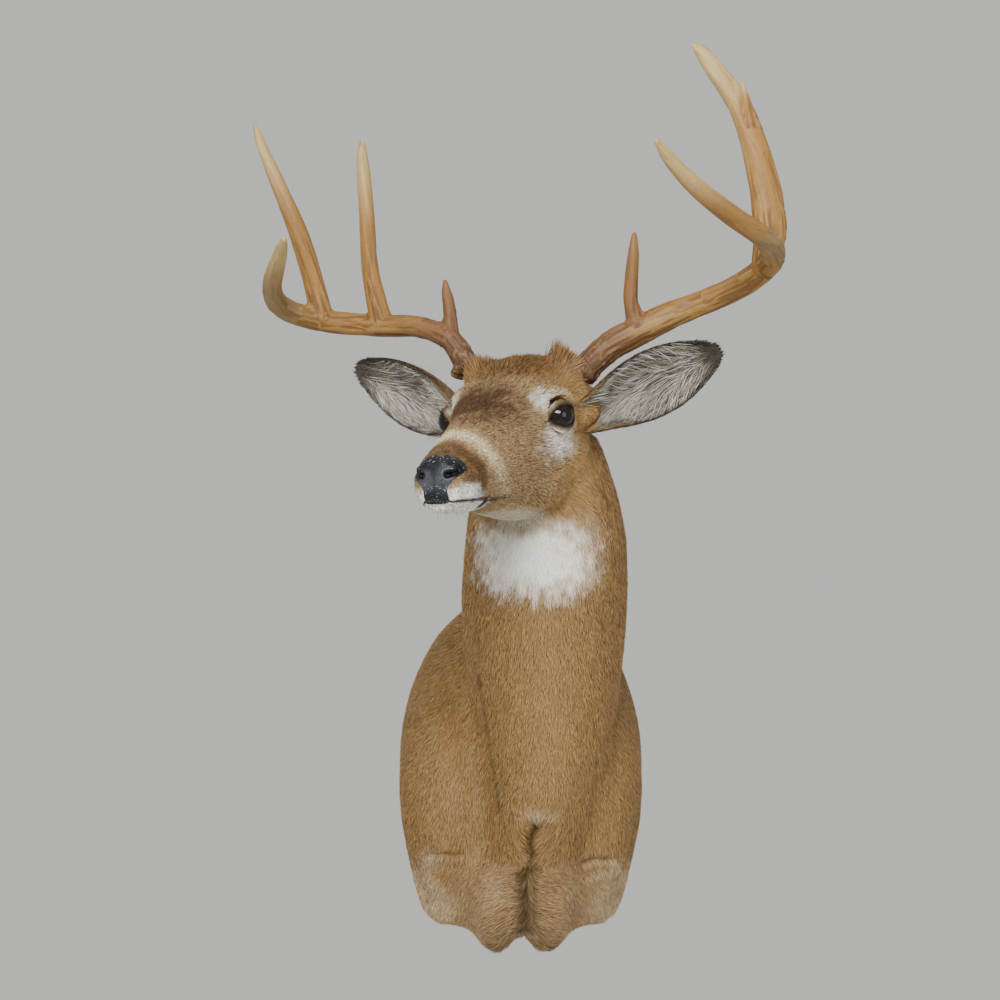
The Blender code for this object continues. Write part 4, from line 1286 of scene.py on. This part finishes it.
def leather_material():
    made, tree, shader = new_material("nose_leather")  # wet pebbled skin
    colour = node(tree, "ShaderNodeAttribute", {"attribute_name": "leather_colour"})
    place = node(tree, "ShaderNodeTexCoord")
    grain = node(
        tree, "ShaderNodeTexVoronoi", {"Scale": 900, "feature": "SMOOTH_F1"},
        Vector=place.outputs["Object"],
    )
    tone = node(
        tree, "ShaderNodeMapRange", {"From Max": 0.7, "To Min": 1.5, "To Max": 0.6},
        Value=grain.outputs["Distance"],
    )
    mixed = node(
        tree, "ShaderNodeVectorMath", {"operation": "SCALE"}, _0=colour.outputs["Color"],
        Scale=tone.outputs[0],
    )
    tree.links.new(mixed.outputs[0], shader.inputs["Base Color"])
    bump = node(
        tree, "ShaderNodeBump", {"Strength": 0.7, "Distance": 0.35 * MM, "invert": True},
        Height=grain.outputs["Distance"],
    )
    tree.links.new(bump.outputs[0], shader.inputs["Normal"])
    shader.inputs["Roughness"].default_value = 0.42
    shader.inputs["Specular IOR Level"].default_value = 0.32
    return made


leather = leather_material()
nose.data.materials.clear()
nose.data.materials.append(leather)
nose.data.polygons.foreach_set("use_smooth", [True] * len(nose.data.polygons))
print("nose faces", len(nose.data.polygons))

# %% [markdown]
# ## Beads on the nose, lashes and whiskers
# These repeat, so Geometry Nodes place them. One tree scatters flattened domes over the leather, as
# thick as an attribute says. Another stands a tapering hair on each point of a small mesh, along
# the way and at the length that the point carries. Both realize their copies, because a copy that
# is only an instance would be left out of the finished mesh.

# %% Scatter the beads and stand the hairs
def node_tree(name, inputs):
    """A Geometry Nodes tree with its named inputs, and its input and output nodes."""
    tree = bpy.data.node_groups.new(name, "GeometryNodeTree")
    tree.interface.new_socket("Geometry", in_out="INPUT", socket_type="NodeSocketGeometry")
    for label, kind in inputs:
        tree.interface.new_socket(label, in_out="INPUT", socket_type=kind)
    tree.interface.new_socket("Geometry", in_out="OUTPUT", socket_type="NodeSocketGeometry")
    return tree, tree.nodes.new("NodeGroupInput"), tree.nodes.new("NodeGroupOutput")


def grown_mesh(name, source, tree, values):
    """The plain mesh that a tree grows on a source mesh with these input values."""
    obj = new_object(name, source)
    grow = obj.modifiers.new("grow", "NODES")
    grow.node_group = tree
    for item in tree.interface.items_tree:
        if item.in_out == "INPUT" and item.name in values:
            grow[item.identifier] = values[item.name]
    return applied(obj)


def bead_tree():
    tree, given, result = node_tree(
        "nose_beads",
        [
            ("Spacing", "NodeSocketFloat"), ("Radius", "NodeSocketFloat"),
            ("Seed", "NodeSocketInt"), ("Leather", "NodeSocketMaterial"),
        ],
    )
    spots = node(
        tree, "GeometryNodeDistributePointsOnFaces", {
            "distribute_method": "POISSON", "Density Max": 9e5,
        },
        Mesh=given.outputs["Geometry"],
        Distance_Min=given.outputs["Spacing"],
        Seed=given.outputs["Seed"],
    )
    tree.links.new(
        node(
            tree, "GeometryNodeInputNamedAttribute", {"data_type": "FLOAT", "Name": "beading"},
        ).outputs["Attribute"],
        spots.inputs["Density Factor"],
    )
    dome = node(
        tree, "GeometryNodeMeshIcoSphere", {"Subdivisions": 2}, Radius=given.outputs["Radius"],
    )
    size = node(tree, "FunctionNodeRandomValue", {"data_type": "FLOAT"}, Seed=given.outputs["Seed"])
    size.inputs[2].default_value, size.inputs[3].default_value = 0.6, 1.15
    flat = node(tree, "ShaderNodeVectorMath", {"operation": "SCALE"}, Scale=size.outputs[1])
    flat.inputs[0].default_value = (1, 1, 0.55)
    beads = node(
        tree, "GeometryNodeInstanceOnPoints", {}, Points=spots.outputs["Points"],
        Instance=dome.outputs["Mesh"], Rotation=spots.outputs["Rotation"], Scale=flat.outputs[0],
    )
    real = node(tree, "GeometryNodeRealizeInstances", {}, Geometry=beads.outputs[0])
    dressed = node(
        tree, "GeometryNodeSetMaterial", {}, Geometry=real.outputs[0],
        Material=given.outputs["Leather"],
    )
    tree.links.new(dressed.outputs[0], result.inputs[0])
    return tree


def hair_tree():
    tree, given, result = node_tree(
        "standing_hairs", [("Thickness", "NodeSocketFloat"), ("Hair", "NodeSocketMaterial")]
    )
    spots = node(tree, "GeometryNodeMeshToPoints", {}, Mesh=given.outputs["Geometry"])
    spike = node(
        tree, "GeometryNodeMeshCone",
        {"Vertices": 5, "Side Segments": 2, "Radius Top": 0.05, "Radius Bottom": 1.0, "Depth": 1.0},
    )
    turn = node(tree, "FunctionNodeAlignRotationToVector", {"axis": "Z"})
    tree.links.new(
        node(
            tree, "GeometryNodeInputNamedAttribute",
            {"data_type": "FLOAT_VECTOR", "Name": "way"},
        ).outputs["Attribute"],
        turn.inputs["Vector"],
    )
    size = node(
        tree, "ShaderNodeCombineXYZ", {}, X=given.outputs["Thickness"],
        Y=given.outputs["Thickness"],
    )
    tree.links.new(
        node(
            tree, "GeometryNodeInputNamedAttribute", {"data_type": "FLOAT", "Name": "length"},
        ).outputs["Attribute"],
        size.inputs["Z"],
    )
    hairs = node(
        tree, "GeometryNodeInstanceOnPoints", {}, Points=spots.outputs["Points"],
        Instance=spike.outputs["Mesh"], Rotation=turn.outputs[0], Scale=size.outputs[0],
    )
    real = node(tree, "GeometryNodeRealizeInstances", {}, Geometry=hairs.outputs[0])
    dressed = node(
        tree, "GeometryNodeSetMaterial", {}, Geometry=real.outputs[0],
        Material=given.outputs["Hair"],
    )
    tree.links.new(dressed.outputs[0], result.inputs[0])
    return tree


def set_floats(mesh, name, values, kind="FLOAT"):
    layer = mesh.attributes.new(name, kind, "POINT")
    layer.data.foreach_set(
        "vector" if kind == "FLOAT_VECTOR" else "value", np.asarray(values, np.float32).ravel(),
    )


def bead_material():
    made, tree, shader = new_material("nose_beads")  # pale worn grain of the nose
    place = node(tree, "ShaderNodeTexCoord")
    spots = node(
        tree, "ShaderNodeTexNoise", {"Scale": 420, "Detail": 1}, Vector=place.outputs["Object"],
    )
    tint = node(
        tree, "ShaderNodeValToRGB",
        {"stops": [
            (0.42, linear("#141517")), (0.54, linear("#3A3F44")), (0.66, linear("#8F9498")),
        ]},
        _0=spots.outputs["Fac"],
    )
    tree.links.new(tint.outputs[0], shader.inputs["Base Color"])
    shader.inputs["Roughness"].default_value = 0.5
    shader.inputs["Specular IOR Level"].default_value = 0.3
    return made


def plain_material(name, hexed, rough):
    made, tree, shader = new_material(name)
    place = node(tree, "ShaderNodeTexCoord")
    spots = node(
        tree, "ShaderNodeTexNoise", {"Scale": 300, "Detail": 1}, Vector=place.outputs["Object"],
    )
    dark, pale = linear(hexed) * 0.7, linear(hexed) * 1.3
    tint = node(
        tree, "ShaderNodeValToRGB", {"stops": [(0.35, dark), (0.65, pale)]},
        _0=spots.outputs["Fac"],
    )
    tree.links.new(tint.outputs[0], shader.inputs["Base Color"])
    shader.inputs["Roughness"].default_value = rough
    return made


source = nose.data.copy()
h = in_head(vertex_array(source))
low_pad = step(h[:, 2], -57, -66)
top_edge = step(h[:, 2], -44, -38) * step(h[:, 1], -160, -167)
sides = step(np.abs(h[:, 0]), 12, 18) * 0.5
hole, _ = to_path(mirrored(h), NOSTRIL[1:])
set_floats(
    source, "beading",
    np.clip(0.05 + 0.9 * low_pad + 0.5 * top_edge + 0.5 * sides, 0, 1) * step(hole, 3.5, 5),
)
beads = grown_mesh(
    "nose_beads", source, bead_tree(),
    {"Spacing": 1.15 * MM, "Radius": 0.62 * MM, "Seed": 7, "Leather": bead_material()},
)
print("nose beads", len(beads.data.polygons), "faces")


def point_cloud(name, points, ways, lengths):
    mesh = bpy.data.meshes.new(name)
    mesh.from_pydata([tuple(p) for p in points], [], [])
    set_floats(mesh, "way", ways, "FLOAT_VECTOR")
    set_floats(mesh, "length", lengths)
    return mesh


lash_points, lash_ways = [], []
for eye in eye_frames.values():
    turn = np.linspace(0.35, 2.6, 46) + 0.03 * random.random(46)
    way = eye.way(*almond(turn, 2.0))
    lash_points.append(from_head(eye.centre + way * (EYE_RADIUS + 1.4)))
    out = way * 1.0 + eye.up * 0.45 - eye.fore * 0.25 * np.cos(turn)[:, None]
    lash_ways.append(unit(out + 0.12 * random.normal(size=out.shape)) @ HEAD_TURN.T)
lashes = grown_mesh(
    "eyelashes",
    point_cloud(
        "eyelashes", np.concatenate(lash_points), np.concatenate(lash_ways),
        (5 + 3 * random.random(92)) * MM,
    ),
    hair_tree(), {"Thickness": 0.12 * MM, "Hair": plain_material("lash_hair", "#1B1511", 0.5)},
)
muzzle_area = (
    step(HEAD_MIDDLES[:, 1], -108, -125) * step(HEAD_MIDDLES[:, 2], -50, -62) * ~hairless
    * ~is_ear
)
faces, shares = scatter(muzzle_area, 80)
roots = blend_corners(SKIN_POINTS, faces, shares)
normals = unit(blend_corners(SKIN_NORMALS, faces, shares))
ways = unit(normals + 0.7 * lie(roots, normals) + 0.25 * random.normal(size=roots.shape))
whiskers = grown_mesh(
    "whiskers", point_cloud("whiskers", roots, ways, (6 + 10 * random.random(len(roots))) * MM),
    bpy.data.node_groups["standing_hairs"],
    {"Thickness": 0.09 * MM, "Hair": plain_material("whisker_hair", "#2A2119", 0.45)},
)
print("lashes", len(lashes.data.polygons), "whiskers", len(whiskers.data.polygons), "faces")

# %% [markdown]
# ## Antlers
# An antler is bone: dark, rough and beaded where it leaves the head, streaked with shallow grooves
# that blood vessels left in the velvet, and rubbed pale and smooth at the tips. The solids' pieces
# are merged and remeshed finely. Grooves and beads are then pressed in by numbers that follow the
# beam: how far each point is from the root, and where it is round the beam.

# %% Carve the antlers
LEFT_LINES = [
    [
        (57, -293, 424), (69, -298, 440), (86, -301, 456), (120, -303, 474), (150, -307, 489),
        (184, -313, 502), (222, -336, 519), (238, -355, 531), (244, -380, 540),
        (235, -410, 549), (192, -463, 569), (142, -516, 599), (126, -534, 613),
        (115, -547, 625),
    ],
    [(117, -303, 478), (110, -305, 498), (110, -308, 530), (112, -311, 560), (112, -312, 573)],
    [
        (237, -358, 531), (242, -362, 560), (241, -362, 587), (231, -356, 642),
        (213, -348, 695), (186, -343, 735), (175, -341, 750), (168, -340, 757),
    ],
    [(223, -352, 668), (221, -355, 690), (215, -358, 718)],
]
RIGHT_LINES = [
    [
        (-53, -252, 432), (-64, -246, 454), (-77, -238, 471), (-102, -224, 483),
        (-153, -196, 488), (-216, -180, 495), (-241, -190, 501), (-257, -214, 509),
        (-260, -248, 520), (-253, -290, 534), (-243, -330, 547), (-235, -364, 560),
    ],
    [(-75, -238, 474), (-75, -238, 494), (-79, -240, 520), (-81, -240, 533)],
    [
        (-149, -197, 488), (-154, -199, 511), (-160, -202, 540), (-165, -210, 614),
        (-169, -215, 672), (-169, -216, 684),
    ],
    [
        (-214, -181, 495), (-219, -182, 519), (-236, -187, 580), (-263, -193, 646),
        (-282, -197, 694), (-285, -198, 706),
    ],
]
ANTLER_VOXEL = 1.35 * MM


def near_line(points, lines):
    """For each point: its line's number, the share of the line's length, and the way off it."""
    best = np.full(len(points), np.inf)
    number = np.zeros(len(points), int)
    place = np.zeros(len(points))
    off = np.zeros_like(points)
    for k, line in enumerate(lines):
        line = np.array(line, float)
        gap, where = to_path(points, line)
        steps = np.linalg.norm(np.diff(line, axis=0), axis=1)
        share = np.concatenate([[0], np.cumsum(steps)]) / steps.sum()
        foot = np.stack([np.interp(where, share, line[:, i]) for i in range(3)], axis=1)
        nearer = gap < best
        best, place = np.where(nearer, gap, best), np.where(nearer, where, place)
        number = np.where(nearer, k, number)
        off = np.where(nearer[:, None], points - foot, off)
    return number, place, off


def antler(name, names, lines):
    obj = remeshed(name, merged_copy(names, 0.3 * MM), ANTLER_VOXEL, 3)
    points = vertex_array(obj.data)
    normals = normal_array(obj.data)
    mm = points / MM
    number, place, off = near_line(mm, lines)
    root = np.linalg.norm(mm - np.array(lines[0][0]), axis=1)
    totals = [np.linalg.norm(
        np.diff(np.array(line, float), axis=0), axis=1,
    ).sum() for line in lines]
    length = np.array(totals)[number]
    # Streaks: noise read round the horn, drawn out twelve times along it.
    long = off + (place * length / 12)[:, None] * np.array([0.6, 0.5, 0.6]) + number[:, None] * 40
    groove = noise(long * MM, 2.9, 61) + 0.7 * noise(long * MM, 1.6, 62)
    deep = step(groove, 0.0, -0.6)
    tine = number > 0
    rough = np.where(tine, step(place, 0.75, 0.1), step(place, 0.9, 0.35))
    beads = step(noise(points, 3.6, 63), 0.15, 0.6) * step(root, 75, 20)
    shift = 0.5 * noise(long * MM, 6, 64) - 0.85 * deep * rough + 0.9 * beads
    crown = step(root, 24, 10)
    shift = shift + crown * 1.2 * noise(points, 5, 65)
    set_vertices(obj.data, points + normals * shift[:, None] * MM)
    bone = linear("#946B34")
    c = np.tile(bone, (len(points), 1))
    c = paint(c, linear("#694A31"), step(root, 150, 20))
    c = paint(c, linear("#4C3827"), 0.85 * step(root, 46, 12))
    to_tip = (1 - place) * length
    fade = np.minimum(95, 0.42 * length)
    brow_tine = number == 1
    c = paint(c, linear("#C2A972"), (0.75 - 0.65 * brow_tine) * step(to_tip / fade, 1.3, 0.3))
    c = paint(c, linear("#6B4426"), 0.5 * brow_tine)
    c = paint(
        c, linear("#B99A60"), 0.4 * step(root, 60, 110) * step(noise(long * MM, 9, 66), 0, 0.7),
    )
    c = paint(
        c, linear("#857757"),
        0.55 * step(noise(points, 55, 67), 0.05, 0.6) * ~tine * step(root, 120, 220) * step(to_tip, 60, 130),
    )
    c = paint(c, linear("#4A2F18"), 0.62 * deep * np.maximum(rough, 0.35))
    c = paint(c, linear("#6E4A26"), 0.5 * step(noise(long * MM, 1.6, 69), 0.1, 0.7) * rough)
    c = paint(c, linear("#9C7A55"), 0.4 * beads)
    c = c * (1 + 0.12 * noise(long * MM, 3, 68))[:, None]
    set_colours(obj.data, "horn_colour", np.clip(c, 0.01, 0.9))
    obj.data.polygons.foreach_set("use_smooth", [True] * len(obj.data.polygons))
    print(name, len(obj.data.polygons), "faces")
    return obj


def horn_material():
    made, tree, shader = new_material("antler_bone")  # weathered antler
    colour = node(tree, "ShaderNodeAttribute", {"attribute_name": "horn_colour"})
    place = node(tree, "ShaderNodeTexCoord")
    fine = node(
        tree, "ShaderNodeTexNoise", {"Scale": 650, "Detail": 5, "Roughness": 0.65},
        Vector=place.outputs["Object"],
    )
    tone = node(
        tree, "ShaderNodeMapRange",
        {"From Min": 0.3, "From Max": 0.7, "To Min": 0.82, "To Max": 1.16},
        Value=fine.outputs["Fac"],
    )
    mixed = node(
        tree, "ShaderNodeVectorMath", {"operation": "SCALE"}, _0=colour.outputs["Color"],
        Scale=tone.outputs[0],
    )
    tree.links.new(mixed.outputs[0], shader.inputs["Base Color"])
    bump = node(
        tree, "ShaderNodeBump", {"Strength": 0.5, "Distance": 0.25 * MM},
        Height=fine.outputs["Fac"],
    )
    tree.links.new(bump.outputs[0], shader.inputs["Normal"])
    shader.inputs["Roughness"].default_value = 0.55
    shader.inputs["Specular IOR Level"].default_value = 0.35
    return made


horn = horn_material()
LEFT_ANTLER = [name for name in nodes if name.startswith("antler_left")]
RIGHT_ANTLER = [name for name in nodes if name.startswith("antler_right")]
left_antler = antler("horn_left", LEFT_ANTLER, LEFT_LINES)
right_antler = antler("horn_right", RIGHT_ANTLER, RIGHT_LINES)
for obj in (left_antler, right_antler):
    obj.data.materials.clear()
    obj.data.materials.append(horn)

# %% [markdown]
# ## The back board
# The board is plywood, seen only from behind and at its edge. Its solid is right as it is, so it
# only gets a material: growth rings stretched along the grain, with fine dark pores.

# %% Finish the board
def plywood_material():
    made, tree, shader = new_material("plywood_board")  # birch plywood
    place = node(tree, "ShaderNodeTexCoord")
    grain = node(tree, "ShaderNodeMapping", {"Scale": (1, 1, 0.08)}, Vector=place.outputs["Object"])
    rings = node(
        tree, "ShaderNodeTexNoise", {"Scale": 60, "Detail": 6, "Distortion": 0.6},
        Vector=grain.outputs[0],
    )
    colour = node(
        tree, "ShaderNodeValToRGB",
        {"stops": [(0.3, linear("#B08A5A")), (0.5, linear("#C9A573")), (0.7, linear("#D8BB8C"))]},
        _0=rings.outputs["Fac"],
    )
    tree.links.new(colour.outputs[0], shader.inputs["Base Color"])
    pores = node(tree, "ShaderNodeTexNoise", {"Scale": 900, "Detail": 3}, Vector=grain.outputs[0])
    bump = node(
        tree, "ShaderNodeBump", {"Strength": 0.4, "Distance": 0.3 * MM},
        Height=pores.outputs["Fac"],
    )
    tree.links.new(bump.outputs[0], shader.inputs["Normal"])
    shader.inputs["Roughness"].default_value = 0.7
    return made


board = nodes["back_board"]
board.data.materials.clear()
board.data.materials.append(plywood_material())

# %% [markdown]
# ## What stands for what
# The visual pieces replace the solids that they were made from. The mount has no moving part, so
# everything rides on its one body.

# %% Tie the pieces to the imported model
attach(skin, "root")
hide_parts("trunk", "neck", "head", "muzzle", "lower_jaw", "ear_left", "ear_right")
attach(nose, "root")
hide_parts("nose_pad")
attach(beads, "root")
for piece in [*coat_pieces, lashes, whiskers]:
    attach(piece, "root")
for word, eye in eyes.items():
    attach(eye, "root")
    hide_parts(f"eye_{word}")
for piece, names in ((left_antler, LEFT_ANTLER), (right_antler, RIGHT_ANTLER)):
    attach(piece, "root")
    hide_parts(*names)

# %% [markdown]
# ## Stage, camera and light
# A pale floor lies well below the mount. The camera stands square in front of the wall at the
# height of the throat, and the light is a large soft one from the front, above and to the left,
# with a weaker fill.

# %% Stage, camera and light
bpy.ops.mesh.primitive_circle_add(vertices=96, radius=1.6, fill_type="NGON", location=(0, 0, -0.75))
floor = bpy.context.object
floor.name = "floor"
floor_paint, _, floor_shader = new_material("floor_paint")
floor_shader.inputs["Base Color"].default_value = rgba("#D6D4CF")
floor_shader.inputs["Roughness"].default_value = 0.8
floor.data.materials.append(floor_paint)

world = bpy.data.worlds.new("studio")
bpy.context.scene.world = world
world.use_nodes = True
world.node_tree.nodes["Background"].inputs["Color"].default_value = rgba("#D2D3D0")
world.node_tree.nodes["Background"].inputs["Strength"].default_value = 0.95


def softbox(name, place, aim, size, power, shine=1.0):
    lamp = bpy.data.lights.new(name, "AREA")
    lamp.shape = "RECTANGLE"
    lamp.size, lamp.size_y = size
    lamp.energy = power
    lamp.specular_factor = shine
    made = bpy.data.objects.new(name, lamp)
    made.location = place
    made.rotation_euler = (Vector(aim) - Vector(place)).to_track_quat("-Z", "Y").to_euler()
    bpy.context.scene.collection.objects.link(made)


softbox("key", (-0.5, -2.6, 1.7), (0, -0.2, 0.2), (1.3, 0.8), 78)
softbox("fill", (1.8, -2.2, 0.6), (0, -0.2, 0.2), (1.3, 1.3), 18, 0.1)
for number, across in enumerate((-0.75, -0.45, -0.15)):
    softbox(f"window_{number}", (across, -2.2, 1.15), (0.03, -0.36, 0.38), (0.16, 0.3), 5)

camera_data = bpy.data.cameras.new("camera")
camera_data.lens = 73.44
camera_data.sensor_width = 36
camera = bpy.data.objects.new("camera", camera_data)
camera.location = (-0.0232, -2.37, 0.302)
camera.rotation_euler = (math.pi / 2, 0, 0)
bpy.context.scene.collection.objects.link(camera)
bpy.context.scene.camera = camera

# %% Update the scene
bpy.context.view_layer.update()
